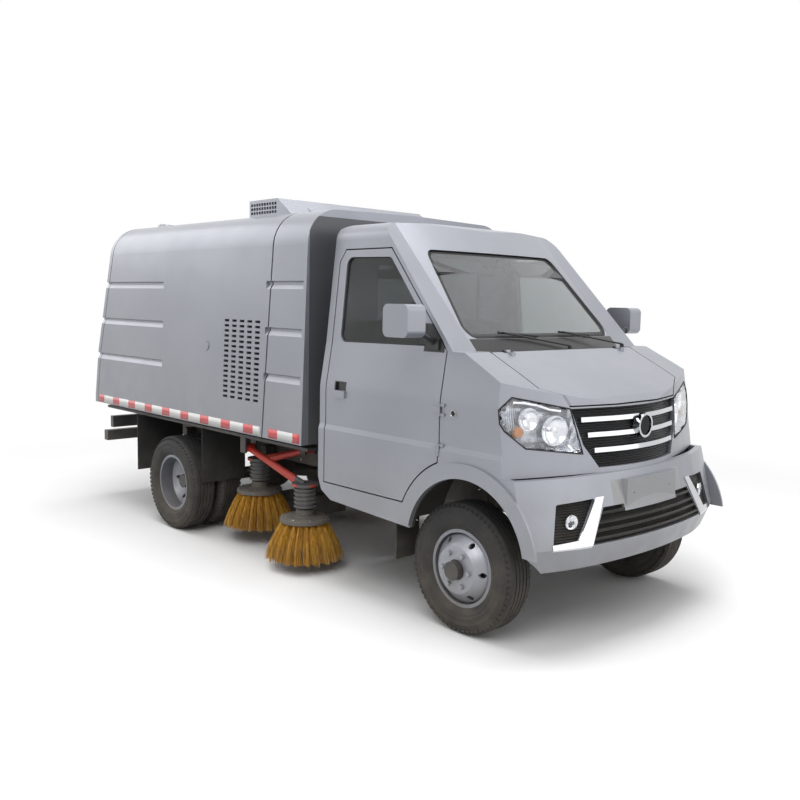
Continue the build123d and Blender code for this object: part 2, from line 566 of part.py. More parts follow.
spring_y = 420.0
leaf_half = 520.0
leaf = side_prism(
    [(REAR_AXLE_X - leaf_half, 470.0), (REAR_AXLE_X - 200.0, 382.0), (REAR_AXLE_X + 200.0, 382.0),
     (REAR_AXLE_X + leaf_half, 470.0), (REAR_AXLE_X + leaf_half, 450.0), (REAR_AXLE_X + 200.0, TYRE_R + 46.0),
     (REAR_AXLE_X - 200.0, TYRE_R + 46.0), (REAR_AXLE_X - leaf_half, 450.0)],
    spring_y - 30.0, spring_y + 30.0)
hangers = block(REAR_AXLE_X - leaf_half - 20.0, REAR_AXLE_X - leaf_half + 30.0, 365.0,
                spring_y + 30.0, 445.0, 600.0)
hangers = hangers + block(REAR_AXLE_X + leaf_half - 30.0, REAR_AXLE_X + leaf_half + 20.0, 365.0,
                          spring_y + 30.0, 445.0, 600.0)
hangers = hangers - leaf
saddle = block(REAR_AXLE_X - 60.0, REAR_AXLE_X + 60.0, spring_y - 30.0, spring_y + 30.0,
               TYRE_R, TYRE_R + 46.0)
rear_axle = rear_axle + both(saddle)
rear_springs = both(leaf)
chassis = chassis + both(hangers)

# front suspension: cross beam, lower arms and struts on the steering axis
fx = FRONT_AXLE_X
beam = block(fx - 50.0, fx + 50.0, -380.0, 380.0, 300.0, 380.0)
posts = block(fx - 40.0, fx + 40.0, RAIL_IN_Y, RAIL_OUT_Y, 375.0, RAIL_Z0)
arm = block(fx - 35.0, fx + 35.0, 360.0, KINGPIN_Y, 235.0, 262.0)
arm = arm + block(fx - 35.0, fx + 35.0, 340.0, 375.0, 240.0, 320.0)
lower_pin = rod((fx, KINGPIN_Y, 235.0), (fx, KINGPIN_Y, 300.0), 14.0)
strut = rod((fx, KINGPIN_Y, 395.0), (fx, KINGPIN_Y, 800.0), 24.0)
cup = rod((fx, KINGPIN_Y, 790.0), (fx, KINGPIN_Y, WELL_Z + WELL_R + 1.0), 55.0)
cup = cup & Pos(WELL_X, KINGPIN_Y, WELL_Z) * Rot(90, 0, 0) * Cylinder(WELL_R, 400.0)
suspension = beam + both(posts + arm + lower_pin + strut + cup)

knuckle = rod((fx, KINGPIN_Y, 265.0), (fx, KINGPIN_Y, 420.0), 38.0)
knuckle = knuckle + rod((fx, KINGPIN_Y, TYRE_R), (fx, FRONT_WHEEL_Y + DISC_OFFSET + 5.0, TYRE_R), SPINDLE_R)
knuckle = knuckle + rod((fx, KINGPIN_Y, TYRE_R), (fx, KINGPIN_Y + 62.0, TYRE_R), 45.0)
knuckle = knuckle - rod((fx, KINGPIN_Y, 200.0), (fx, KINGPIN_Y, 300.5), 14.0 + RUN_CLEARANCE)
knuckle = knuckle - rod((fx, KINGPIN_Y, 394.5), (fx, KINGPIN_Y, 500.0), 24.0 + RUN_CLEARANCE)


# ---------------------------------------------------------------- wheels
def spun(points):
    """A solid of revolution about the wheel axis; points are (across, radius)."""
    face = make_face(Polyline(*[(r, a) for a, r in points], close=True))
    return Rot(-90, 0, 0) * revolve(Plane.XZ * face, Axis.Z)


def tyre_ring():
    """A tyre centred on the origin with its axis along Y."""
    half = TYRE_WIDTH / 2
    return spun([
        (-RIM_HALF_WIDTH + 4.0, RIM_SEAT_R), (-RIM_HALF_WIDTH + 4.0, RIM_FLANGE_R + 6.0),
        (-half, 246.0), (-half + 8.0, 296.0), (-half + 30.0, TYRE_R),
        (half - 30.0, TYRE_R), (half - 8.0, 296.0), (half, 246.0),
        (RIM_HALF_WIDTH - 4.0, RIM_FLANGE_R + 6.0), (RIM_HALF_WIDTH - 4.0, RIM_SEAT_R)])


def rim_ring():
    """A steel rim: barrel, dished disc, vent holes and studs; the disc bulges towards +Y."""
    edge = RIM_HALF_WIDTH
    barrel = spun([
        (-edge, RIM_FLANGE_R), (-edge + 4.0, RIM_FLANGE_R), (-edge + 4.0, RIM_SEAT_R),
        (edge - 4.0, RIM_SEAT_R), (edge - 4.0, RIM_FLANGE_R), (edge, RIM_FLANGE_R), (edge, RIM_SEAT_R - 8.0),
        (-edge, RIM_SEAT_R - 8.0)])
    face = DISC_OFFSET
    disc = spun([
        (22.0, RIM_SEAT_R - 6.0), (36.0, RIM_SEAT_R - 6.0), (50.0, 164.0), (face - 12.0, 128.0),
        (face, 114.0),
        (face, 20.0), (face - 8.0, 20.0), (face - 8.0, 110.0), (face - 19.0, 121.0), (44.0, 157.0),
        (30.0, 168.0)])
    vents = [Rot(0, 30.0 + k * 360.0 / VENT_HOLES, 0) * Pos(0, 70.0, 143.0) * Rot(90, 0, 0)
             * Cylinder(VENT_HOLE_R, 80.0) for k in range(VENT_HOLES)]
    return barrel + (disc - vents)


def studs(y0, y1):
    """The ring of wheel nuts between two widths."""
    ring = Part()
    for k in range(STUD_COUNT):
        angle = radians(k * 360.0 / STUD_COUNT)
        x, z = STUD_RING_R * cos(angle), STUD_RING_R * sin(angle)
        stud = extrude(RegularPolygon(STUD_R, 6), (y1 - y0) / 2, both=True)
        ring = ring + Pos(x, (y0 + y1) / 2, z) * Rot(90, 0, 0) * stud
    return ring


tyre = tyre_ring()
rim = rim_ring()
spin_bore = rod((0, -200.0, 0), (0, DISC_OFFSET + 12.0, 0), SPINDLE_R + RUN_CLEARANCE)
front_hub = rod((0, -20.0, 0), (0, DISC_OFFSET - 4.0, 0), 58.0) + rod((0, DISC_OFFSET - 4.0, 0),
                                                                   (0, DISC_OFFSET + 34.0, 0), 45.0)
drum = rod((0, -32.0, 0), (0, 30.0, 0), 118.0) + rod((0, 25.0, 0), (0, DISC_OFFSET - 4.0, 0), 90.0)
front_rim = (rim + front_hub + drum + studs(DISC_OFFSET - 4.0, DISC_OFFSET + 14.0)) - spin_bore
front_centre = Pos(fx, FRONT_WHEEL_Y, TYRE_R)

rear_outer = Pos(0, DISC_OFFSET, 0) * Rot(0, 0, 180) * rim
rear_inner = Pos(0, -DISC_OFFSET, 0) * rim
rear_hub = rod((0, -60.0, 0), (0, 60.0, 0), 62.0) + rod((0, -165.0, 0), (0, -8.0, 0), 112.0)
rear_bore = rod((0, -200.0, 0), (0, 75.0, 0), 25.0 + RUN_CLEARANCE)
rear_bore = rear_bore + rod((0, -200.0, 0), (0, -62.0, 0), 46.0)
rear_cap = rod((0, 55.0, 0), (0, 95.0, 0), 46.0)
rear_rim = (rear_outer + rear_inner + rear_hub + rear_cap + studs(4.0, 22.0)) - rear_bore
rear_tyres = Pos(0, DISC_OFFSET, 0) * tyre + Pos(0, -DISC_OFFSET, 0) * tyre
rear_centre = Pos(REAR_AXLE_X, REAR_HUB_FACE_Y, TYRE_R)


# ---------------------------------------------------------------- sweeper body
def body_block(inset, x0, x1, bottom):
    """The body's rounded cross-section swept along the truck, shrunk by an inset."""
    half = [(BODY_HALF_WIDTH - inset, bottom), (BODY_HALF_WIDTH - 10.0 - inset, BODY_WAIST_Z),
            (BODY_HALF_WIDTH - 44.0 - inset, BODY_ROOF_Z - 14.0 - inset), (0.0, BODY_ROOF_Z - inset)]
    outline = half + [(-y, z) for y, z in reversed(half[:-1])]
    face = make_face(Polyline(*outline, close=True))
    top = [v for v in face.vertices() if abs(v.Y - half[2][1]) < 1.0]
    face = fillet(top, BODY_CORNER_R - inset)
    return extrude(Plane.YZ * face, amount=x1 - x0).moved(Pos(x0, 0, 0))


def seam_side(x_shift, ahead):
    """All the space ahead of (or behind) the slanted seam plane."""
    far = 3000.0 if ahead else -3000.0
    slope = (BODY_SEAM_TOP_X - BODY_SEAM_BOTTOM_X) / (BODY_ROOF_Z - BODY_BOTTOM_Z)
    low = BODY_SEAM_BOTTOM_X + x_shift - slope * 200.0
    high = BODY_SEAM_TOP_X + x_shift + slope * 200.0
    return side_prism(
        [(low, BODY_BOTTOM_Z - 200.0), (high, BODY_ROOF_Z + 200.0), (far, BODY_ROOF_Z + 200.0),
         (far, BODY_BOTTOM_Z - 200.0)], -1000.0, 1000.0)


def tail_side(x_shift):
    """All the space ahead of the body's leaning tail."""
    outline = [
        (BODY_REAR_X + x_shift, BODY_BOTTOM_Z - 100.0), (BODY_REAR_X + x_shift, BODY_BOTTOM_Z + 60.0),
        (BODY_REAR_X + 40.0 + x_shift, 1160.0), (BODY_REAR_X + 165.0 + x_shift, 1660.0),
        (BODY_REAR_X + 245.0 + x_shift, 1980.0), (BODY_REAR_X + 340.0 + x_shift, BODY_ROOF_Z + 100.0),
        (1000.0, BODY_ROOF_Z + 100.0), (1000.0, BODY_BOTTOM_Z - 100.0)]
    return side_prism(outline, -1000.0, 1000.0)


def body_side_y(z):
    """Half-width of the body's side at a height."""
    if z < BODY_WAIST_Z:
        return BODY_HALF_WIDTH - 10.0 * (z - BODY_BOTTOM_Z) / (BODY_WAIST_Z - BODY_BOTTOM_Z)
    return BODY_HALF_WIDTH - 10.0 - 34.0 * (z - BODY_WAIST_Z) / (BODY_ROOF_Z - 14.0 - BODY_WAIST_Z)


def groove(z, x0, x1):
    """A pressed groove along the body's left side, with a steep upper face."""
    y_top, y_low = body_side_y(z + GROOVE_RISE), body_side_y(z - GROOVE_DROP)
    return front_prism(
        [(y_top, z + GROOVE_RISE), (y_top + 40.0, z + GROOVE_RISE), (y_low + 40.0, z - GROOVE_DROP),
         (y_low, z - GROOVE_DROP), (body_side_y(z) - GROOVE_DEPTH, z + 2.0),
         (body_side_y(z) - GROOVE_DEPTH, z + 12.0)], x0, x1)


whole = body_block(0.0, BODY_REAR_X - 10.0, BODY_FRONT_X, BODY_BOTTOM_Z)
for z in GROOVE_HEIGHTS:
    whole = whole - both(groove(z, BODY_REAR_X - 20.0, GROOVE_REAR_END_X))
    whole = whole - both(groove(z, BODY_SEAM_BOTTOM_X + 2.0, BODY_FRONT_X - 26.0))
hollow = body_block(BODY_WALL, BODY_REAR_X - 20.0, BODY_FRONT_X - BODY_WALL, BODY_BOTTOM_Z + BODY_WALL)
front_section = (whole & seam_side(SEAM_GAP / 2, True)) - (
    hollow & seam_side(SEAM_GAP / 2 - 60.0, True))
hopper = (whole & seam_side(-SEAM_GAP / 2, False) & tail_side(REAR_DOOR_THICK + PANEL_GAP)) - (
    hollow & seam_side(-SEAM_GAP / 2 - BODY_WALL, False))
rear_door = whole & (tail_side(0.0) - tail_side(REAR_DOOR_THICK))
slots = []
for column in range(VENT_COLUMNS):
    for row in range(VENT_ROWS):
        x = VENT_FRONT_X - VENT_SLOT_X / 2 - column * VENT_PITCH_X
        z = VENT_BOTTOM_Z + row * VENT_PITCH_Z
        slots.append(Pos(x, 0, z) * Box(VENT_SLOT_X, 2 * BODY_HALF_WIDTH + 20.0, VENT_SLOT_Z))
hopper = hopper - slots
latch = rod((-535.0, body_side_y(1270.0) - 4.0, 1270.0), (-535.0, body_side_y(1270.0) + 5.0, 1270.0), 30.0)
hopper = hopper + both(latch)
tail_layer = tail_side(-18.0) - tail_side(0.0)
for y0 in (-640.0, -30.0, 580.0):
    rear_door = rear_door + (tail_layer & block(-2300.0, -1700.0, y0, y0 + 60.0, 830.0, 1900.0))
rear_door = rear_door + (tail_layer & block(-2300.0, -1700.0, -640.0, 640.0, 1180.0, 1240.0))

# roof intake hood on the hopper
hood_top = 2180.0
roof_hood = side_prism(
    [(-400.0, BODY_ROOF_Z - 20.0), (-400.0, hood_top), (-99.0, hood_top), (63.0, BODY_ROOF_Z - 20.0)],
    -600.0, 600.0)
roof_hollow = side_prism(
    [(-388.0, BODY_ROOF_Z - 60.0), (-388.0, hood_top - 12.0), (-105.0, hood_top - 12.0),
     (40.0, BODY_ROOF_Z - 60.0)], -588.0, 588.0)
roof_hood = roof_hood - roof_hollow - whole
mesh_holes = []
for column in range(10):
    for row in range(3):
        mesh_holes.append(Pos(-372.0 + column * 28.0, 0, 2101.0 + row * 25.0) * Box(20.0, 1300.0, 17.0))
roof_hood = roof_hood - mesh_holes
catch = side_prism([(-40.0, 2122.0), (-25.0, 2130.0), (15.0, 2106.0), (15.0, 2085.0)], 330.0, 430.0)
roof_hood = roof_hood + both(catch - roof_hollow - whole)

# sub-frame that carries the body on the chassis rails
sub_beam = block(RAIL_REAR_X + 20.0, BODY_FRONT_X - 20.0, RAIL_IN_Y, RAIL_OUT_Y, RAIL_Z1, 722.0)
deck = block(RAIL_REAR_X + 60.0, BODY_FRONT_X - 20.0, -790.0, 790.0, 722.0, 740.0)
front_stand = block(160.0, BODY_FRONT_X - 30.0, -700.0, 700.0, 740.0, BODY_BOTTOM_Z)
subframe = both(sub_beam) + deck + front_stand

# tipping hinge at the back: hopper lugs between fixed ears
ear_y = 260.0
tip_axis = (TIP_X, TIP_Z)
lug = block(TIP_X - 26.0, TIP_X + 26.0, ear_y - 18.0, ear_y + 18.0, TIP_Z, BODY_BOTTOM_Z + 0.0)
lug = lug + rod((TIP_X, ear_y - 18.0, TIP_Z), (TIP_X, ear_y + 18.0, TIP_Z), 30.0)
lug = lug - rod((TIP_X, ear_y - 60.0, TIP_Z), (TIP_X, ear_y + 60.0, TIP_Z), TIP_PIN_R + RUN_CLEARANCE)
ears = Part()
for y in (ear_y - 36.0, ear_y + 22.0):
    ears = ears + block(TIP_X - 26.0, TIP_X + 26.0, y, y + 14.0, 625.0, TIP_Z)
    ears = ears + rod((TIP_X, y, TIP_Z), (TIP_X, y + 14.0, TIP_Z), 28.0)
ears = ears + rod((TIP_X, ear_y - 36.0, TIP_Z), (TIP_X, ear_y + 36.0, TIP_Z), TIP_PIN_R)
slot = block(TIP_X - 70.0, TIP_X + 60.0, ear_y - 44.0, ear_y + 44.0, 700.0, 800.0)
subframe = subframe - both(block(TIP_X - 100.0, TIP_X + 70.0, ear_y - 44.0, ear_y + 44.0, 660.0, 745.0))
ear_base = block(TIP_X - 26.0, TIP_X + 60.0, ear_y - 36.0, RAIL_IN_Y + 5.0, 615.0, 640.0)
chassis = chassis + both(ears + ear_base)
tow_lug = block(-2090.0, -2030.0, -10.0, 10.0, 455.0, 540.0)
tow_lug = tow_lug - rod((-2060.0, -20.0, 490.0), (-2060.0, 20.0, 490.0), 17.0)
chassis = chassis + tow_lug
hopper = hopper + both(lug)

# rear door hinges across the top of the tail
tail_x = BODY_REAR_X + REAR_DOOR_THICK + PANEL_GAP / 2 + 293.0
tail_z = BODY_ROOF_Z + 18.0
for y in (-430.0, 430.0):
    eye = rod((tail_x, y - 25.0, tail_z), (tail_x, y + 25.0, tail_z), 17.0)
    eye = eye + block(tail_x - 60.0, tail_x - 4.0, y - 25.0, y + 25.0, BODY_ROOF_Z - 8.0, tail_z + 10.0)
    hole = rod((tail_x, y - 60.0, tail_z), (tail_x, y + 60.0, tail_z), 9.0 + RUN_CLEARANCE)
    rear_door = rear_door + (eye - hole)
    for y0 in (y - 40.0, y + 27.0):
        hopper = hopper + rod((tail_x, y0, tail_z), (tail_x, y0 + 13.0, tail_z), 17.0)
        hopper = hopper + block(tail_x + 4.0, tail_x + 60.0, y0, y0 + 13.0, BODY_ROOF_Z - 14.0, tail_z + 10.0)
    hopper = hopper + rod((tail_x, y - 40.0, tail_z), (tail_x, y + 40.0, tail_z), 9.0)

# ---------------------------------------------------------------- brushes
def tuft_outline(radius, notch, z):
    """A ring of tufts: a many-pointed outline at height z."""
    points = []
    for k in range(2 * BRUSH_TUFTS):
        r = radius if k % 2 == 0 else radius - notch
        angle = radians(k * 180.0 / BRUSH_TUFTS + 4.0)
        points.append((r * cos(angle), r * sin(angle), z))
    return make_face(Polyline(*points, close=True))


def brush(x, y, bottom):
    """A side brush: disc, boss and one skirt of bristle tufts."""
    waist = bottom + 0.62 * BRUSH_HEIGHT
    top = bottom + BRUSH_HEIGHT
    waist_r = BRUSH_DISC_R + 0.25 * (BRUSH_R - BRUSH_DISC_R)
    low = loft([tuft_outline(BRUSH_R, 17.0, bottom), tuft_outline(waist_r, 11.0, waist)], ruled=True)
    high = loft([tuft_outline(waist_r, 11.0, waist), tuft_outline(BRUSH_DISC_R - 6.0, 7.0, top)], ruled=True)
    disc = rod((0, 0, top), (0, 0, top + 22.0), BRUSH_DISC_R)
    boss = rod((0, 0, top + 18.0), (0, 0, top + 48.0), 50.0)
    bore = rod((0, 0, top - 60.0), (0, 0, top + 60.0), 16.0 + RUN_CLEARANCE)
    return Pos(x, y, 0) * ((low + high + disc + boss) - bore)


def brush_arm(x, y, bottom, pivot_x, pivot_y, pivot_z):
    """The hinged arm with the motor that turns a brush; x, y is the brush axis."""
    top = bottom + BRUSH_HEIGHT + 50.0
    motor = rod((x, y, top + 5.0), (x, y, top + 135.0), 56.0)
    for k in range(5):
        motor = motor + rod((x, y, top + 10.0 + 25.0 * k), (x, y, top + 22.0 + 25.0 * k), 64.0)
    drive = rod((x, y, top - 55.0), (x, y, top + 6.0), 16.0)
    plate = rod((x, y, top + 135.0), (x, y, top + 150.0), 78.0)
    way = 1.0 if x > pivot_x else -1.0
    knee = (x - way * 70.0, y, top + 142.0)
    sleeve = rod((pivot_x, pivot_y - 30.0, pivot_z), (pivot_x, pivot_y + 30.0, pivot_z), 26.0)
    tube = rod((pivot_x, pivot_y, pivot_z), knee, 20.0)
    stay = rod((pivot_x, pivot_y, pivot_z), (x, y, top + 142.0), 16.0)
    bore = rod((pivot_x, pivot_y - 60.0, pivot_z), (pivot_x, pivot_y + 60.0, pivot_z), 12.0 + RUN_CLEARANCE)
    return (motor + drive + plate + sleeve + tube + stay) - bore


def arm_bracket(pivot_x, pivot_y, pivot_z):
    """Two ears under the deck with the pin an arm hinges on."""
    ear = block(pivot_x - 28.0, pivot_x + 28.0, pivot_y + 33.0, pivot_y + 45.0, pivot_z - 28.0, 722.0)
    twin = block(pivot_x - 28.0, pivot_x + 28.0, pivot_y - 45.0, pivot_y - 33.0, pivot_z - 28.0, 722.0)
    pin = rod((pivot_x, pivot_y - 45.0, pivot_z), (pivot_x, pivot_y + 45.0, pivot_z), 12.0)
    return ear + twin + pin


FRONT_BRUSH = dict(x=FRONT_AXLE_X - 1310.0, y=690.0, bottom=62.0)
REAR_BRUSH = dict(x=FRONT_AXLE_X - 1990.0, y=545.0, bottom=100.0)
FRONT_PIVOT = dict(pivot_x=FRONT_AXLE_X - 1850.0, pivot_y=720.0, pivot_z=646.0)
REAR_PIVOT = dict(pivot_x=FRONT_AXLE_X - 1530.0, pivot_y=500.0, pivot_z=655.0)
for pivot in (FRONT_PIVOT, REAR_PIVOT):
    subframe = subframe + both(arm_bracket(**pivot))

# ---------------------------------------------------------------- suction mouth
mouth = block(-780.0, -480.0, -285.0, 285.0, 45.0, 190.0) - block(-765.0, -495.0, -270.0, 270.0, 40.0, 175.0)
duct = rod((-630.0, 170.0, 185.0), (-630.0, 170.0, 722.0), 95.0) - rod((-630.0, 170.0, 170.0),
                                                                    (-630.0, 170.0, 730.0), 85.0)
mouth = mouth - rod((-630.0, 170.0, 100.0), (-630.0, 170.0, 240.0), 85.0)
stay = block(-650.0, -610.0, 255.0, RAIL_IN_Y, 540.0, 570.0)
suction = mouth + duct + stay

# ---------------------------------------------------------------- rear end
under_run = block(REAR_END_X, REAR_END_X + 60.0, -750.0, 750.0, 447.0, 525.0)
legs = block(REAR_END_X + 50.0, RAIL_REAR_X + 20.0, RAIL_IN_Y, RAIL_OUT_Y, 470.0, RAIL_Z0)
rear_beam = block(-2165.0, RAIL_REAR_X, -720.0, 720.0, 552.0, 640.0)
rear_bumper = under_run + both(legs) + rear_beam
tail_lamp = block(-2190.0, -2165.0, 520.0, 700.0, 562.0, 632.0)
lamps_rear = both(tail_lamp)

# ---------------------------------------------------------------- guards and flaps
front_flap = block(FRONT_AXLE_X - 431.0, FRONT_AXLE_X - 422.0, 620.0, 779.0, 270.0, 470.0)
rear_guard = block(-650.0 - 8.0, -650.0, 470.0, 800.0, 360.0, 722.0)
rear_flap = block(-1480.0, -1472.0, 480.0, 840.0, 330.0, 722.0)
guards = both(front_flap + rear_guard + rear_flap)

def screen_point(y, z, proud):
    """A point that stands proud of the windscreen at a width and height."""
    x = fx - 80.0 - y * y / 7520.0 - 0.92 * (z - 1396.0)
    return (x + 0.737 * proud, y, z + 0.677 * proud)


wiper_parts = Part()
for y_base, y_tip in ((560.0, 90.0), (70.0, -380.0)):
    foot = (fx - 20.0, y_base, HOOD_REAR_Z)
    knee = (fx - 20.0, y_base, HOOD_REAR_Z + 16.0)
    wiper_parts = wiper_parts + rod(foot, knee, 11.0) + rod(knee, screen_point(y_tip, 1412.0, 22.0), 5.0)
    blade_end = screen_point(y_tip - 20.0, 1421.0, 9.0)
    blade_mid = screen_point(y_tip + 250.0, 1402.0, 9.0)
    wiper_parts = wiper_parts + rod(blade_end, blade_mid, 6.0)
    wiper_parts = wiper_parts + rod(screen_point(y_tip, 1412.0, 22.0), screen_point(y_tip, 1419.0, 7.0), 5.0)
wiper_parts = wiper_parts - outer

flare = both(arch_cut(ARCH_R + FLARE_WIDTH, CAB_HALF_WIDTH, CAB_HALF_WIDTH + 12.0))
flare = flare - both(arch_cut(ARCH_R, 700.0, 900.0)) - sill_cut()
flare = flare & block(ARCH_X - 600.0, ARCH_X + 600.0, -900.0, 900.0, 478.0, 1000.0)

proud = cab_volume(-4.0)
bar_band = proud - grille_inner
trims = Part()
for z in BAR_HEIGHTS:
    half_w = 318.0 + (z - 822.0) * 0.44 - 14.0
    trims = trims + (bar_band & block(fx + 200.0, fx + 700.0, -half_w, half_w, z - 11.0, z + 11.0))
badge = rod((fx + 460.0, 0.0, 1000.0), (fx + 496.0, 0.0, 1000.0), 60.0)
badge = badge - rod((fx + 490.0, 0.0, 1000.0), (fx + 510.0, 0.0, 1000.0), 49.0)
trims = (trims + badge) - grille_inner
fog_trim = front_prism(
    [(362.0, 704.0), (414.0, 704.0), (556.0, 530.0), (694.0, 522.0), (694.0, 494.0), (488.0, 490.0)],
    fx + 300.0, fx + 700.0)
trims = trims + both((proud - outer) & fog_trim)
fog_lens = (outer - grille_inner) & rod((fx + 300.0, 572.0, 608.0), (fx + 700.0, 572.0, 608.0), 36.0)
marker_y = CAB_HALF_WIDTH - CREASE_DEPTH
marker = rod((fx - 20.0, marker_y, 1060.0), (fx - 20.0, marker_y + 7.0, 1060.0), 17.0)
lamps = lamps + both(fog_lens + marker)

save(chassis + both(tank + tank_strap), "chassis_frame")
save(driveline, "engine_and_driveline")
save(rear_axle + rear_springs, "rear_axle")
save(suspension, "front_suspension")
save(shell + flare, "cab_shell")
save(interior, "cab_interior")
save(dashboard, "dashboard")
save(seats, "seats")
save(screen_glass + rear_glass, "cab_glass")
save(bumper, "front_bumper")
save(grille + intake + fog_panels, "grille")
save(trims, "chrome_trims")
save(lamps, "headlamps")
save(wiper_parts, "wipers")
save(guards, "mudguards")
save(front_section, "body_front_section")
save(subframe, "body_subframe")
save(suction, "suction_mouth")
save(rear_bumper, "rear_bumper")
save(lamps_rear, "tail_lamps")
save(hood, "hood_lid")
save(hopper, "hopper")
save(roof_hood, "roof_intake_hood")
save(rear_door, "rear_door")
for side, turn in (("left", lambda s: s), ("right", mirrored)):
    save(turn(door_left), "door_" + side)
    save(turn(glass_left), "door_glass_" + side)
    save(turn(knuckle), "knuckle_" + side)
    save(turn(front_centre * tyre), "front_tyre_" + side)
    save(turn(front_centre * front_rim), "front_rim_" + side)
    save(turn(rear_centre * rear_tyres), "rear_tyres_" + side)
    save(turn(rear_centre * rear_rim), "rear_rims_" + side)
    save(turn(brush(**FRONT_BRUSH)), "front_brush_" + side)
    save(turn(brush(**REAR_BRUSH)), "rear_brush_" + side)
    save(turn(brush_arm(**FRONT_BRUSH, **FRONT_PIVOT)), "front_brush_arm_" + side)
    save(turn(brush_arm(**REAR_BRUSH, **REAR_PIVOT)), "rear_brush_arm_" + side)
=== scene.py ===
"""Compact street sweeper truck: its finishes, its fine pieces and a plain pale stage."""

import math

import bmesh
import bpy
from mathutils import Matrix, Vector
from mathutils.bvhtree import BVHTree


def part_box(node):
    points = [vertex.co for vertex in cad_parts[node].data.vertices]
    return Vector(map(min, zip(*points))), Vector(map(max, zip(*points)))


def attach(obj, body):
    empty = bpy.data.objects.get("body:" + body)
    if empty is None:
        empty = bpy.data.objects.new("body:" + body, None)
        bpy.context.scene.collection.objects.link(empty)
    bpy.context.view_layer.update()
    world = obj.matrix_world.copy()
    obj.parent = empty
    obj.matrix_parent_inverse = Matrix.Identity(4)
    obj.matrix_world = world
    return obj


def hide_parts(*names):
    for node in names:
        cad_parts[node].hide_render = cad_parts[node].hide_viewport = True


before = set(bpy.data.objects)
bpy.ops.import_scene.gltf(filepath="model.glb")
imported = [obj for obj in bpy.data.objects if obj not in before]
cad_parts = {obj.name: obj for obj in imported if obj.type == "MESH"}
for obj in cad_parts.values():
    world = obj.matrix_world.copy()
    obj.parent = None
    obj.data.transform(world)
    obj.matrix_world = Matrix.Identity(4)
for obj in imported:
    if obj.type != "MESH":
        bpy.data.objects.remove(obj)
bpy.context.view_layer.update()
SIDES = (("left", 1.0), ("right", -1.0))
AHEAD, BACK, LEFTWARD = (1.0, 0.0, 0.0), (-1.0, 0.0, 0.0), (0.0, 1.0, 0.0)
UP, DOWN = (0.0, 0.0, 1.0), (0.0, 0.0, -1.0)
CREASE, FINE_CREASE = 35.0, 30.0

bl_info = {
    "name": "Street Sweeper Truck",
    "version": (1, 0, 0),
    "blender": (4, 5, 0),
    "location": "View3D > Sidebar > Sweeper",
    "description": "Finishes and fine pieces of a compact street sweeper truck",
    "category": "Object",
}


# ---------------------------------------------------------------- what a user would change

def colour(name, description, *tone):
    return bpy.props.FloatVectorProperty(
        name=name, description=description, default=(*tone, 1), subtype="COLOR", size=4, min=0.0, max=1.0)


def length(name, description, default):
    return bpy.props.FloatProperty(
        name=name, description=description, default=default, min=0.0, unit="LENGTH", precision=4)


class SweeperColours(bpy.types.PropertyGroup):
    silver: colour("Silver paint", "Paint of the cab and the body", 0.333, 0.345, 0.384)
    silver_deep: colour("Silver depth", "Darker flakes in the silver paint", 0.230, 0.240, 0.274)
    dark_grey: colour("Dark grey paint", "Front face of the body", 0.075, 0.078, 0.088)
    chassis: colour("Chassis paint", "Frame, axles and brackets", 0.018, 0.018, 0.02)
    dust: colour("Road dust", "Dust that gathers low down", 0.27, 0.235, 0.19)
    rubber: colour("Rubber", "Tyres, seals and flaps", 0.016, 0.016, 0.017)
    plastic: colour("Black plastic", "Grille, mirror arms and wipers", 0.014, 0.014, 0.015)
    interior: colour("Cab trim", "Dashboard and cab lining", 0.06, 0.06, 0.065)
    cloth: colour("Seat cloth", "Seat covers", 0.09, 0.095, 0.11)
    bristle: colour("Bristles", "Side brush bristles", 0.80, 0.44, 0.05)
    bristle_dark: colour("Bristle shade", "Darker strands of the side brushes", 0.46, 0.20, 0.02)
    arm_red: colour("Brush arm red", "Brush arms and their brackets", 0.58, 0.035, 0.02)
    tape_red: colour("Tape red", "Red lengths of the reflective tape", 0.62, 0.015, 0.03)
    tape_white: colour("Tape white", "White lengths of the reflective tape", 0.74, 0.75, 0.74)
    glass: colour("Glass tint", "Windscreen and rear window", 0.70, 0.76, 0.79)
    side_glass: colour("Side glass tint", "Door windows", 0.20, 0.22, 0.22)
    amber: colour("Amber lens", "Indicators", 0.85, 0.28, 0.02)
    lamp_red: colour("Red lens", "Tail lamps", 0.55, 0.01, 0.01)


class SweeperSizes(bpy.types.PropertyGroup):
    groove: length("Tread groove", "Depth of the tyre grooves", 0.009)
    lug: length("Tread lug", "Length of one shoulder lug round the tyre", 0.021)
    strand: length("Bristle width", "Width of one bristle strand at its root", 0.0042)
    tuft_strands: bpy.props.IntProperty(
        name="Strands", description="Bristle strands in one brush", default=2400, min=10)
    tape_width: length("Tape width", "Height of the reflective tape", 0.054)
    tape_length: length("Tape length", "Length of one red and one white stretch together", 0.250)
    seal: length("Window seal", "Radius of the window rubbers", 0.0065)
    band: length("Screen band", "Width of the dark band round the windscreen", 0.030)
    pad_cap: length("Seat swell", "Most that a seat cover may swell", 0.024)
    bolt: length("Bolt head", "Width of a frame bolt head", 0.019)


def sizes():
    return bpy.context.scene.sweeper_sizes


def swatch(name):
    return tuple(getattr(bpy.context.scene.sweeper_colours, name))


def shade(paint, gain, lift=0.0):
    """A lighter or darker tone of a paint."""
    return tuple(min(1.0, gain * part + lift) for part in paint[:3]) + (1,)


# ---------------------------------------------------------------- node trees

FLOAT, COLOUR, GEOMETRY = "NodeSocketFloat", "NodeSocketColor", "NodeSocketGeometry"
GREY = (0.5, 0.5, 0.5, 1)


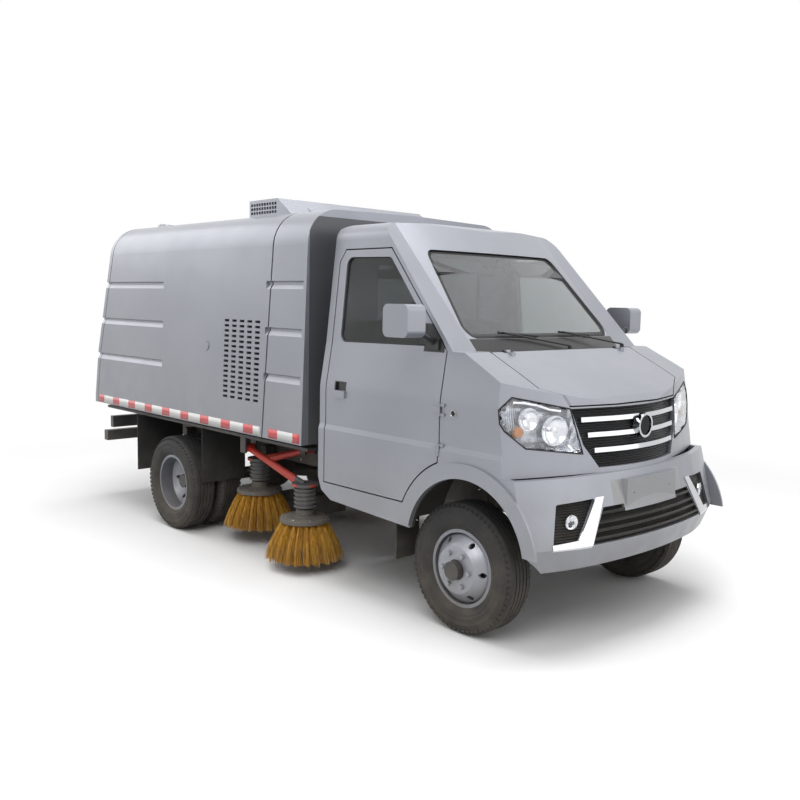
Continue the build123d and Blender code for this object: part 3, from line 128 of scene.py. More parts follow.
class Nodes:
    """A node tree, with short calls that add nodes and join their sockets."""

    def __init__(self, tree):
        self.tree = tree
        self.spot = None

    def add(self, kind, inputs=None, **options):
        """Adds a node, sets its options, then fills or joins its inputs."""
        node = self.tree.nodes.new(kind)
        for key, value in options.items():
            setattr(node, key, value)
        for key, value in (inputs or {}).items():
            self.feed(value, node.inputs[key])
        return node

    def feed(self, value, socket):
        """Joins an output to a socket, or writes a plain value in it."""
        if isinstance(value, bpy.types.NodeSocket):
            self.tree.links.new(value, socket)
        else:
            socket.default_value = value

    def maths(self, operation, *values):
        """A maths node, or a chain of them where there are more than two values."""
        result = values[0]
        for value in values[1:] or (0.0,):
            result = self.add("ShaderNodeMath", {0: result, 1: value}, operation=operation).outputs[0]
        return result

    def plus(self, *values):
        return self.maths("ADD", *values)

    def minus(self, *values):
        return self.maths("SUBTRACT", *values)

    def times(self, *values):
        return self.maths("MULTIPLY", *values)

    def over(self, *values):
        return self.maths("DIVIDE", *values)

    def remap(self, value, low, high, to_low=0.0, to_high=1.0, **options):
        return self.add("ShaderNodeMapRange", {
            "Value": value, "From Min": low, "From Max": high, "To Min": to_low, "To Max": to_high},
            **options).outputs[0]

    def mix(self, factor, a, b):
        return self.add("ShaderNodeMix", {0: factor, 6: a, 7: b}, data_type="RGBA").outputs[2]

    def vector(self, operation, *values):
        """A vector maths node; its one plain number where it measures a length."""
        node = self.add("ShaderNodeVectorMath", dict(enumerate(values)), operation=operation)
        return node.outputs["Value" if operation == "LENGTH" else "Vector"]

    def split(self, vector):
        return self.add("ShaderNodeSeparateXYZ", {0: vector}).outputs

    def place(self):
        """The place in the object's own space, from one node that the whole tree shares."""
        if self.spot is None:
            self.spot = self.add("ShaderNodeTexCoord").outputs["Object"]
        return self.spot

    def noise(self, scale, detail, place=None):
        return self.add("ShaderNodeTexNoise", {
            "Vector": place or self.place(), "Scale": scale, "Detail": detail}).outputs[0]

    def cells(self, scale, **options):
        return self.add("ShaderNodeTexVoronoi", {"Vector": self.place(), "Scale": scale}, **options).outputs

    def wave(self, scale, axis, **inputs):
        return self.add("ShaderNodeTexWave", {"Vector": self.place(), "Scale": scale, **inputs},
                        bands_direction=axis).outputs["Fac"]

    def seen(self):
        """1 for rays that come from the camera, a mirror or a pane, 0 for those that only carry light."""
        path = self.add("ShaderNodeLightPath").outputs
        kinds = ("Camera", "Glossy", "Transmission")
        return self.maths("MAXIMUM", *(path["Is %s Ray" % kind] for kind in kinds))


class Group(Nodes):
    """A node group under construction: its inputs come with a default value, or with a socket type."""

    def __init__(self, name, inputs, outputs, kind="ShaderNodeTree"):
        super().__init__(bpy.data.node_groups.new(name, kind))
        sockets = self.tree.interface
        for label, default in inputs.items():
            if isinstance(default, str):
                sockets.new_socket(name=label, in_out="INPUT", socket_type=default)
                continue
            socket = "NodeSocketInt" if isinstance(default, int) else FLOAT
            if isinstance(default, tuple):
                socket = COLOUR if len(default) == 4 else "NodeSocketVector"
            sockets.new_socket(name=label, in_out="INPUT", socket_type=socket).default_value = default
        for label, socket in outputs.items():
            sockets.new_socket(name=label, in_out="OUTPUT", socket_type=socket)
        self.given = self.add("NodeGroupInput").outputs
        self.result = self.add("NodeGroupOutput").inputs

    def done(self, *outputs):
        for index, value in enumerate(outputs):
            self.feed(value, self.result[index])
        return self.tree


def dust_group():
    """Dust that thickens towards the road and settles in patches."""
    n = Group("Road dust", {"Clean": GREY, "Dust": (0.3, 0.25, 0.2, 1), "Low": 0.2, "High": 1.1,
                            "Scale": 7.0, "Amount": 0.6}, {"Color": COLOUR, "Mask": FLOAT})
    level = n.remap(n.split(n.place())["Z"], n.given["Low"], n.given["High"], 1.0, 0.0,
                    interpolation_type="SMOOTHSTEP")
    patch = n.remap(n.noise(n.given["Scale"], 6.0), 0.3, 0.72, 0.25, 1.0)
    mask = n.times(level, patch, n.given["Amount"])
    return n.done(n.mix(mask, n.given["Clean"], n.given["Dust"]), mask)


def grain_group():
    """Fine unevenness: a value between two limits and a height for bump."""
    n = Group("Fine grain", {"Scale": 200.0, "Low": 0.3, "High": 0.5}, {"Value": FLOAT, "Height": FLOAT})
    noise = n.noise(n.given["Scale"], 4.0)
    return n.done(n.remap(noise, 0.3, 0.7, n.given["Low"], n.given["High"]), noise)


def flake_group():
    """Metal flakes in paint: two tones in tiny cells under a slow drift of shade."""
    n = Group("Paint flake", {"Paint": GREY, "Depth": (0.3, 0.3, 0.3, 1), "Scale": 900.0},
              {"Color": COLOUR, "Height": FLOAT})
    tone = n.add("ShaderNodeSeparateColor", {0: n.cells(n.given["Scale"])["Color"]}).outputs[0]
    share = n.plus(n.times(tone, 0.30), n.remap(n.noise(1.6, 2.0), 0.3, 0.7, 0.0, 0.35))
    return n.done(n.mix(share, n.given["Paint"], n.given["Depth"]), tone)


def scuff_group():
    """Long thin scuffs and small chips, as a mask."""
    n = Group("Scuffs", {"Scale": 18.0, "Amount": 0.3}, {"Mask": FLOAT})
    lines = n.noise(n.given["Scale"], 3.0, n.vector("MULTIPLY", n.place(), (0.25, 1.0, 2.6)))
    spots = n.remap(n.noise(3.0, 3.0), 0.50, 0.72)
    return n.done(n.times(n.remap(lines, 0.64, 0.80), spots, n.given["Amount"]))


def zone_group():
    """1 inside a box of the object's space, 0 outside it."""
    n = Group("Box zone", {"Centre": (0, 0, 0), "Half": (1, 1, 1)}, {"Mask": FLOAT})
    off = n.vector("ABSOLUTE", n.vector("SUBTRACT", n.place(), n.given["Centre"]))
    past = n.split(n.vector("SUBTRACT", off, n.given["Half"]))
    return n.done(n.maths("LESS_THAN", n.maths("MAXIMUM", past[0], past[1], past[2]), 0.0))


def weave_group():
    """Crossing threads of a woven cloth, as a height."""
    n = Group("Weave", {"Scale": 300.0}, {"Height": FLOAT})
    across, along, upright = (n.wave(n.given["Scale"], axis, Distortion=0.6) for axis in "XYZ")
    return n.done(n.times(n.maths("MAXIMUM", across, along), upright))


GROUPS = {}


class Finish(Nodes):
    """A material under construction: its tree, its shader and the shared effects."""

    def __init__(self, name, **constants):
        self.material = bpy.data.materials.new(name)
        self.material.use_nodes = True
        super().__init__(self.material.node_tree)
        self.shader = self.tree.nodes["Principled BSDF"]
        for label, value in constants.items():
            self.shader.inputs[label.replace("_", " ")].default_value = value

    def use(self, effect, **inputs):
        return self.add("ShaderNodeGroup", inputs, node_tree=GROUPS[effect]).outputs

    def join(self, value, label):
        self.feed(value, self.shader.inputs[label])

    def zoned(self, tone, zones):
        """Paints boxes over a tone, each (low corner, high corner, colour): the new tone and the masks."""
        masks = []
        for low, high, paint in zones:
            low, high = Vector(low), Vector(high)
            masks.append(self.use("zone", Centre=(low + high) / 2, Half=(high - low) / 2)["Mask"])
            tone = self.mix(masks[-1], tone, paint)
        return tone, masks

    def dusty(self, tone, low, high, amount, scale=7.0):
        """The base colour under road dust; gives the dust's mask."""
        dust = self.use("dust", Clean=tone, Dust=swatch("dust"), Low=low, High=high, Scale=scale,
                        Amount=amount)
        self.join(dust["Color"], "Base Color")
        return dust["Mask"]

    def rough(self, scale, low, high, dust=None):
        """Uneven roughness, duller under dust; gives the grain's height."""
        grain = self.use("grain", Scale=scale, Low=low, High=high)
        value = grain["Value"]
        self.join(value if dust is None else self.plus(value, self.times(dust, 0.5)), "Roughness")
        return grain["Height"]

    def bump(self, height, strength, distance):
        node = self.add("ShaderNodeBump", {"Height": height, "Strength": strength, "Distance": distance})
        self.join(node.outputs[0], "Normal")

    def done(self, grain, bump, dust=None, height=None):
        """Sets the roughness (scale, low, high) and the bump (strength, distance), and gives the material."""
        grain_height = self.rough(*grain, dust)
        self.bump(height or grain_height, *bump)
        return self.material


def silver_paint(name, zones, amount=0.35, high=0.95):
    """Silver metallic paint, with zones of plain paint."""
    metal = 0.55
    finish = Finish(name, Metallic=metal, Coat_Weight=0.22, Coat_Roughness=0.12)
    flake = finish.use("flake", Paint=swatch("silver"), Depth=swatch("silver_deep"), Scale=700.0)
    scuff = finish.use("scuff", Scale=9.0, Amount=0.10)["Mask"]
    tone, masks = finish.zoned(finish.mix(scuff, flake["Color"], swatch("silver_deep")), zones)
    dust = finish.dusty(tone, 0.25, high, amount)
    finish.join(finish.remap(finish.maths("MAXIMUM", *masks), 0.0, 1.0, metal, 0.0), "Metallic")
    return finish.done((7.0, 0.32, 0.40), (0.05, 0.0004), dust, flake["Height"])


def enamel(name, paint, metallic=0.0, low=0.35, high=0.5, zones=(), amount=0.6, dust_top=1.1, wear=0.35,
           scale=45.0, bump=0.12):
    """Plain sprayed enamel with orange peel, dust low down and worn spots."""
    finish = Finish(name, Metallic=metallic)
    scuff = finish.use("scuff", Scale=22.0, Amount=wear)["Mask"]
    tone, _ = finish.zoned(finish.mix(scuff, paint, shade(paint, 0.5, 0.16)), zones)
    return finish.done((scale, low, high), (bump, 0.0015), finish.dusty(tone, 0.12, dust_top, amount))


def rubber(name, paint, amount=0.5, low=0.62, high=0.8, scale=120.0):
    """Dull rubber, faded in patches."""
    finish = Finish(name, Specular_IOR_Level=0.35)
    drift = finish.use("grain", Scale=5.0, Low=0.0, High=0.5)["Value"]
    dust = finish.dusty(finish.mix(drift, paint, shade(paint, 2.2, 0.004)), 0.0, 0.75, amount, 9.0)
    return finish.done((scale, low, high), (0.25, 0.0012), dust)


def chrome(name, tone=(0.60, 0.61, 0.63, 1), zones=()):
    """Bright metal with a little dust on it."""
    finish = Finish(name, Metallic=1.0)
    finish.dusty(finish.zoned(tone, zones)[0], 0.3, 1.0, 0.18)
    return finish.done((90.0, 0.07, 0.16), (0.02, 0.0005))


def clear_glass(name, tint, index=1.45, roughness=0.02):
    """See-through glass with faint specks of dust."""
    finish = Finish(name, Metallic=0.0, Roughness=roughness, IOR=index, Transmission_Weight=1.0)
    speck = finish.use("grain", Scale=35.0, Low=0.0, High=0.12)["Value"]
    finish.join(finish.mix(speck, tint, swatch("dust")), "Base Color")
    finish.rough(14.0, roughness, roughness + 0.05)
    return finish.material


def lens(name, tint, zones=()):
    """Coloured lamp lens with pressed ribs, painted shade that darkens a band of each rib, and zones of other
    colours.
    """
    finish = Finish(name, Roughness=0.12, Coat_Weight=0.6)
    ribs = finish.wave(38.0, "Y")
    tone, _ = finish.zoned(tint, zones)
    # Painted shade: the lens colour darkens towards near-black in a band of each pressed rib.
    finish.join(finish.mix(finish.times(ribs, 0.55), tone, (0.02, 0.015, 0.015, 1)), "Base Color")
    finish.bump(ribs, 0.3, 0.002)
    return finish.material


def slatted(name, paint):
    """Gloss black moulding with fine level slats between the bright bars; the slat pattern paints shade into
    the gaps between the slats and a lighter, lit copy of the plastic onto their faces.
    """
    finish = Finish(name, Specular_IOR_Level=0.22)
    slats = finish.wave(26.0, "Z")
    # Painted light: near-black painted shade in the gaps between the slats, and a lighter, lit copy of the
    # black plastic on the slat faces.
    tone = finish.mix(slats, (0.003, 0.003, 0.003, 1), shade(paint, 1.6))
    return finish.done((120.0, 0.28, 0.42), (0.8, 0.006), finish.dusty(tone, 0.2, 0.9, 0.22), slats)


def lamp_housing():
    """Bright lamp housing with fine upright flutes."""
    finish = Finish("Lamp housing", Metallic=0.85)
    tarnish = finish.use("grain", Scale=25.0, Low=0.0, High=1.0)["Value"]
    finish.join(finish.mix(tarnish, (0.74, 0.76, 0.80, 1), (0.36, 0.38, 0.41, 1)), "Base Color")
    return finish.done((90.0, 0.12, 0.28), (0.35, 0.004), height=finish.wave(30.0, "Y"))


def seat_cloth():
    """Woven seat cloth with a faint rib and slow fading."""
    finish = Finish("Seat cloth", Sheen_Weight=0.25, Sheen_Roughness=0.5, Specular_IOR_Level=0.2)
    cloth = swatch("cloth")
    tone = finish.mix(finish.use("grain", Scale=9.0, Low=0.0, High=0.5)["Value"], cloth, shade(cloth, 1.9))
    tone = finish.mix(finish.times(finish.wave(22.0, "Y"), 0.25), tone, shade(cloth, 0.4))
    finish.join(tone, "Base Color")
    weave = finish.use("weave", Scale=420.0)["Height"]
    return finish.done((300.0, 0.75, 0.95), (0.5, 0.0008), height=weave)


# ---------------------------------------------------------------- shapes

WELD, NODE_WELD = 1e-6, 2e-5
STRIP_LIFT, STRIP_THICK = 0.0003, 0.0008


def linked(name, data):
    """A new object in the scene."""
    piece = bpy.data.objects.new(name, data)
    bpy.context.scene.collection.objects.link(piece)
    return piece


def shifted(place):
    return Matrix.Translation(place)


def turned(degrees, axis):
    return Matrix.Rotation(math.radians(degrees), 4, axis)


def build(name, points, faces, material, recalc=False):
    """A smooth mesh object in the frame's own coordinates."""
    mesh = bpy.data.meshes.new(name)
    mesh.from_pydata([tuple(p) for p in points], [], faces)
    work = bmesh.new()
    work.from_mesh(mesh)
    bmesh.ops.remove_doubles(work, verts=work.verts, dist=WELD)
    if recalc:
        bmesh.ops.recalc_face_normals(work, faces=work.faces)
    work.to_mesh(mesh)
    work.free()
    smoothed(mesh)
    mesh.materials.append(material)
    return linked(name, mesh)


def smoothed(mesh):
    mesh.polygons.foreach_set("use_smooth", [True] * len(mesh.polygons))


def sharp_shade(piece, degrees):
    """Smooth faces with creases kept sharp."""
    smoothed(piece.data)
    piece.data.set_sharp_from_angle(angle=math.radians(degrees))


def carry(piece, body, *nodes, slot):
    """The piece rides on its body and hides the nodes it replaces; its slot is not used."""
    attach(piece, body)
    if nodes:
        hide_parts(*nodes)


def fit(shape, name, finish, body, slot, *nodes, sharp=None):
    """Makes a shape into a piece, creases it where asked and puts it on its body."""
    piece = build(name, shape.points, shape.faces, PAINTS[finish], recalc=True)
    if sharp:
        sharp_shade(piece, sharp)
    carry(piece, body, *nodes, slot=slot)


def block(low, high, bevel, segments=2, profile=0.0):
    """A working copy of a box between two corners, with its edges cut."""
    work = bmesh.new()
    low, high = Vector(low), Vector(high)
    bmesh.ops.create_cube(work, size=1.0)
    for vert in work.verts:
        vert.co = Vector(((low[i] + high[i]) / 2 + vert.co[i] * (high[i] - low[i])) for i in range(3))
    if bevel:
        bmesh.ops.bevel(work, geom=work.edges[:], offset=bevel, segments=segments, affect="EDGES",
                        profile=profile)
    return work


class Shape:
    """Points and faces gathered before they become one mesh."""

    def __init__(self):
        self.points, self.faces = [], []

    def put(self, points, faces, place=None):
        start = len(self.points)
        self.points += [place @ Vector(p) if place else Vector(p) for p in points]
        self.faces += [[start + i for i in face] for face in faces]

    def lathe(self, profile, segments, place=None, closed=False):
        """Turns (along, radius) pairs round the Y axis; closed joins the last pair to the first."""
        count = len(profile)
        points, faces = [], []
        for step in range(segments):
            angle = 2 * math.pi * step / segments
            points += [(far * math.cos(angle), along, far * math.sin(angle)) for along, far in profile]
            here, after = step * count, (step + 1) % segments * count
            for index in range(count if closed else count - 1):
                follow = (index + 1) % count
                faces.append([here + index, after + index, after + follow, here + follow])
        if not closed:
            for index in (0, count - 1):
                if profile[index][1] > 1e-5:
                    loop = [step * count + index for step in range(segments)]
                    faces.append(loop if index else loop[::-1])
        self.put(points, faces, place)

    def box(self, low, high, place=None, bevel=0.0):
        work = block(low, high, bevel)
        work.verts.index_update()
        self.put([v.co.copy() for v in work.verts], [[v.index for v in f.verts] for f in work.faces], place)
        work.free()


def node_mesh(node):
    """A merged working copy of a CAD node's mesh."""
    work = bmesh.new()
    work.from_mesh(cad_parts[node].data)
    bmesh.ops.remove_doubles(work, verts=work.verts, dist=NODE_WELD)
    bmesh.ops.dissolve_degenerate(work, edges=work.edges, dist=WELD)
    work.normal_update()
    return work


def surface_of(node):
    """Ray casting against a CAD node: hit(origin, direction) gives (point, normal), or None."""
    work = node_mesh(node)
    tree = BVHTree.FromBMesh(work)
    work.free()

    def hit(origin, direction):
        point, normal, _, _ = tree.ray_cast(Vector(origin), Vector(direction))
        return None if point is None else (point, normal)
    return hit


def laid_strip(shape, hit, rows, direction):
    """A thin strip laid on a surface: rows of points are thrown at it along one direction."""
    grid = [[hit(point, direction) for point in row] for row in rows]
    if any(found is None for line in grid for found in line):
        raise RuntimeError("a strip misses its surface near %s" % (tuple(rows[0][0]),))
    across = len(grid[0])
    low, high = ([p + n * lift for line in grid for p, n in line]
                 for lift in (STRIP_LIFT, STRIP_LIFT + STRIP_THICK))
    count = len(low)
    faces = []
    for r in range(len(grid) - 1):
        for c in range(across - 1):
            a, e = r * across + c, (r + 1) * across + c
            faces += [[count + a, count + a + 1, count + e + 1, count + e], [e, e + 1, a + 1, a]]
    rim = list(range(across)) + [r * across + across - 1 for r in range(1, len(grid))]
    rim += [(len(grid) - 1) * across + c for c in range(across - 2, -1, -1)]
    rim += [r * across for r in range(len(grid) - 2, 0, -1)]
    faces += [[a, b, count + b, count + a] for a, b in zip(rim, rim[1:] + rim[:1])]
    shape.put(low + high, faces)


def tube_along(shape, path, radius, sides=8, closed=True):
    """A round bead along a path of points."""
    total = len(path)
    points, faces = [], []
    for i, point in enumerate(path):
        before = path[i - 1] if closed or i else path[i]
        after = path[(i + 1) % total] if closed or i < total - 1 else path[i]
        ahead = (after - before).normalized()
        out = ahead.cross(Vector(UP))
        if out.length < 0.1:
            out = ahead.cross(Vector(AHEAD))
        out.normalize()
        other = ahead.cross(out).normalized()
        for s in range(sides):
            angle = 2 * math.pi * s / sides
            points.append(point + radius * (math.cos(angle) * out + math.sin(angle) * other))
    for i in range(total if closed else total - 1):
        here, after = i * sides, (i + 1) % total * sides
        for s in range(sides):
            t = (s + 1) % sides
            faces.append([here + s, here + t, after + t, after + s])
    if not closed:
        faces += [list(range(sides))[::-1], [(total - 1) * sides + s for s in range(sides)]]
    shape.put(points, faces)


def keep_faces(work, chosen):
    """Drops every face of a working copy that isn't chosen, and the points left over."""
    bmesh.ops.delete(work, geom=[f for f in work.faces if not chosen(f)], context="FACES")
    bmesh.ops.delete(work, geom=[v for v in work.verts if not v.link_faces], context="VERTS")


def facing_patch(node, towards, limit):
    """A working copy of the faces of a node that look the given way."""
    work = node_mesh(node)
    towards = Vector(towards).normalized()
    keep_faces(work, lambda face: face.normal.dot(towards) >= limit)
    return work


def border_loops(work):
    """The open edges of a working copy, walked into closed lists of points."""
    links = {}
    for edge in work.edges:
        if len(edge.link_faces) == 1:
            a, b = edge.verts
            links.setdefault(a, []).append(b)
            links.setdefault(b, []).append(a)
    loops, seen = [], set()
    for start in links:
        if start in seen:
            continue
        loop, here, last = [], start, None
        while here not in seen:
            seen.add(here)
            loop.append(here.co.copy())
            ahead = [v for v in links[here] if v is not last and v not in seen]
            last = here
            if not ahead:
                break
            here = ahead[0]
        if len(loop) > 3:
            loops.append(loop)
    return loops


def evened(loop, step):
    """The same closed path with points about a step apart."""
    out = []
    for i, point in enumerate(loop):
        after = loop[(i + 1) % len(loop)]
        count = max(1, round((after - point).length / step))
        out += [point.lerp(after, k / count) for k in range(count)]
    return out


def path_length(loop):
    return sum((loop[i] - loop[i - 1]).length for i in range(len(loop)))


def spread(low, high, step):
    """Even places from low to high, at most a step apart."""
    count = max(1, math.ceil((high - low) / step))
    return [low + (high - low) * i / count for i in range(count + 1)]


# ---------------------------------------------------------------- repeats by Geometry Nodes

GUIDES = ("angle", "top", "low", "reach", "facing", "heading")
MATERIAL = "NodeSocketMaterial"


class Grower(Group):
    """A Geometry Nodes group that gives one geometry in a material of its own."""

    def __init__(self, name, inputs):
        super().__init__(name, inputs | {"Material": MATERIAL}, {"Geometry": GEOMETRY}, "GeometryNodeTree")

    def told(self, label, kind="FLOAT"):
        """What each point or copy was told under a name."""
        return self.add("GeometryNodeInputNamedAttribute", {"Name": label}, data_type=kind).outputs[0]

    def finished(self, geometry):
        return self.done(self.add("GeometryNodeSetMaterial", {
            "Geometry": geometry, "Material": self.given["Material"]}).outputs[0])

    def first(self, kind, inputs, **options):
        """The first output of a new node."""
        return self.add("GeometryNode" + kind, inputs, **options).outputs[0]


def repeat_tree():
    """Copies of one mesh on given points, each turned to its point's facing and heading."""
    n = Grower("Copies on places", {"Places": GEOMETRY, "Part": "NodeSocketObject"})
    part = n.add("GeometryNodeObjectInfo", {"Object": n.given["Part"]}, transform_space="ORIGINAL")
    turn = n.add("FunctionNodeAlignRotationToVector", {"Vector": n.told("facing", "FLOAT_VECTOR")},
                 axis="Z").outputs[0]
    turn = n.add("FunctionNodeAlignRotationToVector", {
        "Rotation": turn, "Vector": n.told("heading", "FLOAT_VECTOR")}, axis="X", pivot_axis="Z").outputs[0]
    copies = n.first("InstanceOnPoints", {
        "Points": n.given["Places"], "Instance": part.outputs["Geometry"], "Rotation": turn})
    return n.finished(n.first("RealizeInstances", {0: copies}))


def bristle_tree():
    """A skirt of bent tapering strands between a top ring and a wider lower ring."""
    n = Grower("Bristle skirt", {
        "Count": 1200, "Tufts": 22.0, "Top radius": 0.12, "Low radius": 0.24, "Height": 0.24, "Width": 0.004,
        "Flare": 0.02, "Seed": 3})
    given = n.given

    def chance(seed, low, high):
        """A number of its own for each strand, between two limits."""
        node = n.add("FunctionNodeRandomValue", {"Seed": n.plus(given["Seed"], float(seed)), 2: low, 3: high},
                     data_type="FLOAT")
        return node.outputs[1]

    spot = n.add("GeometryNodeInputIndex").outputs[0]
    tuft = n.maths("FLOOR", n.over(spot, n.over(given["Count"], given["Tufts"])))
    lean = chance(11, -0.5, 0.5)
    angle = n.times(n.over(n.plus(tuft, n.times(lean, 0.92)), given["Tufts"]), 2 * math.pi)
    depth = n.times(chance(5, 0.0, 1.0), n.maths("COSINE", n.times(lean, 2.6)))
    top = n.times(given["Top radius"], n.remap(depth, 0.0, 1.0, 0.72, 1.0))
    low = n.times(given["Low radius"], n.remap(depth, 0.0, 1.0, 0.66, 1.0))
    strand = n.first("MeshToCurve", {"Mesh": n.first("MeshLine", {"Count": 5, "Offset": (0.0, 0.0, 0.25)})})
    section = n.first("CurvePrimitiveCircle", {"Resolution": 3, "Radius": 0.5}, mode="RADIUS")
    strand = n.first("CurveToMesh", {"Curve": strand, "Profile Curve": section, "Fill Caps": True})
    width = n.times(given["Width"], chance(8, 0.7, 1.2))
    reach = n.times(given["Height"], chance(9, 0.93, 1.0))
    copies = n.first("InstanceOnPoints", {
        "Points": n.first("MeshLine", {"Count": given["Count"], "Offset": (0.0, 0.0, 0.0)}),
        "Instance": strand,
        "Scale": n.add("ShaderNodeCombineXYZ", {0: width, 1: width, 2: reach}).outputs[0]})
    for label, value in (("angle", angle), ("top", top), ("low", low), ("reach", reach)):
        copies = n.first("StoreNamedAttribute", {"Geometry": copies, "Name": label, "Value": value},
                         data_type="FLOAT", domain="INSTANCE")

    point = n.split(n.add("GeometryNodeInputPosition").outputs[0])
    share = n.over(point[2], n.told("reach"))
    bow = n.times(n.maths("SINE", n.times(share, math.pi)), given["Flare"])
    far = n.plus(n.told("top"), n.times(share, n.minus(n.told("low"), n.told("top"))), bow)
    taper = n.minus(1.0, n.times(share, 0.45))
    out, side = n.plus(far, n.times(point[0], taper)), n.times(point[1], taper)
    cosine, sine = n.maths("COSINE", n.told("angle")), n.maths("SINE", n.told("angle"))
    moved = n.add("ShaderNodeCombineXYZ", {
        0: n.minus(n.times(out, cosine), n.times(side, sine)),
        1: n.plus(n.times(out, sine), n.times(side, cosine)), 2: n.times(point[2], -1.0)}).outputs[0]
    solid = n.first("SetPosition", {"Geometry": n.first("RealizeInstances", {0: copies}), "Position": moved})
    return n.finished(n.first("FlipFaces", {"Mesh": solid}))


def grown(name, tree, base, values, place=None):
    """Runs a Geometry Nodes tree on a base mesh and keeps its result as a plain mesh."""
    holder = linked(name + "_maker", base)
    modifier = holder.modifiers.new("Make", "NODES")
    modifier.node_group = tree
    named = {item.name: item.identifier for item in tree.interface.items_tree if item.in_out == "INPUT"}
    for label, value in values.items():
        modifier[named[label]] = value
    bpy.context.view_layer.update()
    mesh = evaluated(holder)
    mesh.name = name
    bpy.data.objects.remove(holder)
    if place is not None:
        mesh.transform(place)
    for attribute in [a.name for a in mesh.attributes if a.name in GUIDES]:
        mesh.attributes.remove(mesh.attributes[attribute])
    return linked(name, mesh)


def evaluated(piece):
    """What a piece's modifiers make of it, as a plain mesh."""
    return bpy.data.meshes.new_from_object(piece.evaluated_get(bpy.context.evaluated_depsgraph_get()))


TREES = {}


def repeated(name, shape, rows, finish, body, slot):
    """Copies of a small shape at rows of (place, facing, heading), as one piece on a body."""
    base = bpy.data.meshes.new(name + "_places")
    base.from_pydata([tuple(row[0]) for row in rows], [], [])
    for index, label in ((1, "facing"), (2, "heading")):
        layer = base.attributes.new(label, "FLOAT_VECTOR", "POINT")
        layer.data.foreach_set("vector", [c for row in rows for c in row[index]])
    material = PAINTS[finish]
    part = build(name + "_part", shape.points, shape.faces, material, recalc=True)
    if "repeat" not in TREES:
        TREES["repeat"] = repeat_tree()
    piece = grown(name, TREES["repeat"], base, {"Part": part, "Material": material})
    bpy.data.objects.remove(part)
    sharp_shade(piece, CREASE)
    carry(piece, body, slot=slot)


# ---------------------------------------------------------------- materials of this truck

PAINTS = {}


def middle(node):
    low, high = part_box(node)
    return (low + high) / 2


def wheel_paint(name, node):
    """Silver wheel paint with a dark cap at its centre and a dark hub behind, and painted shade that darkens
    its outer ring next to the tyre.
    """
    finish = Finish(name, Metallic=0.5, Coat_Weight=0.25)
    off = finish.vector("SUBTRACT", finish.place(), tuple(middle(node)))
    far = finish.vector("LENGTH", finish.vector("MULTIPLY", off, (1.0, 0.0, 1.0)))
    cap = finish.maths("LESS_THAN", far, 0.050)
    # Painted shade: from 0.150 to 0.172 out from the axle the silver darkens by up to 35% towards chassis
    # black, where the tyre shades the wheel.
    rim = finish.times(finish.remap(far, 0.150, 0.172), 0.35)
    tone = finish.mix(rim, finish.mix(cap, swatch("silver"), swatch("plastic")), swatch("chassis"))
    finish.join(finish.remap(cap, 0.0, 1.0, 0.5, 0.0), "Metallic")
    return finish.done((70.0, 0.32, 0.48), (0.06, 0.001), finish.dusty(tone, 0.05, 0.60, 0.45, 11.0))


def both_sides(zones):
    """Box zones of the left side, and the same ones on the right."""
    return zones + [((low[0], -high[1], low[2]), (high[0], -low[1], high[2]), paint)
                    for low, high, paint in zones]


def tail_zones():
    """Amber and clear thirds of the left tail lamp, as low corner, high corner and colour."""
    low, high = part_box("tail_lamps")
    inner, past = 0.52, 0.01
    third = (high.y - inner) / 3
    return [((low.x - past, high.y - third, low.z - past), (high.x, high.y + past, high.z + past),
             swatch("amber")),
            ((low.x - past, inner - 0.02, low.z - past), (high.x, inner + third * 0.8, high.z + past),
             (0.62, 0.62, 0.6, 1))]


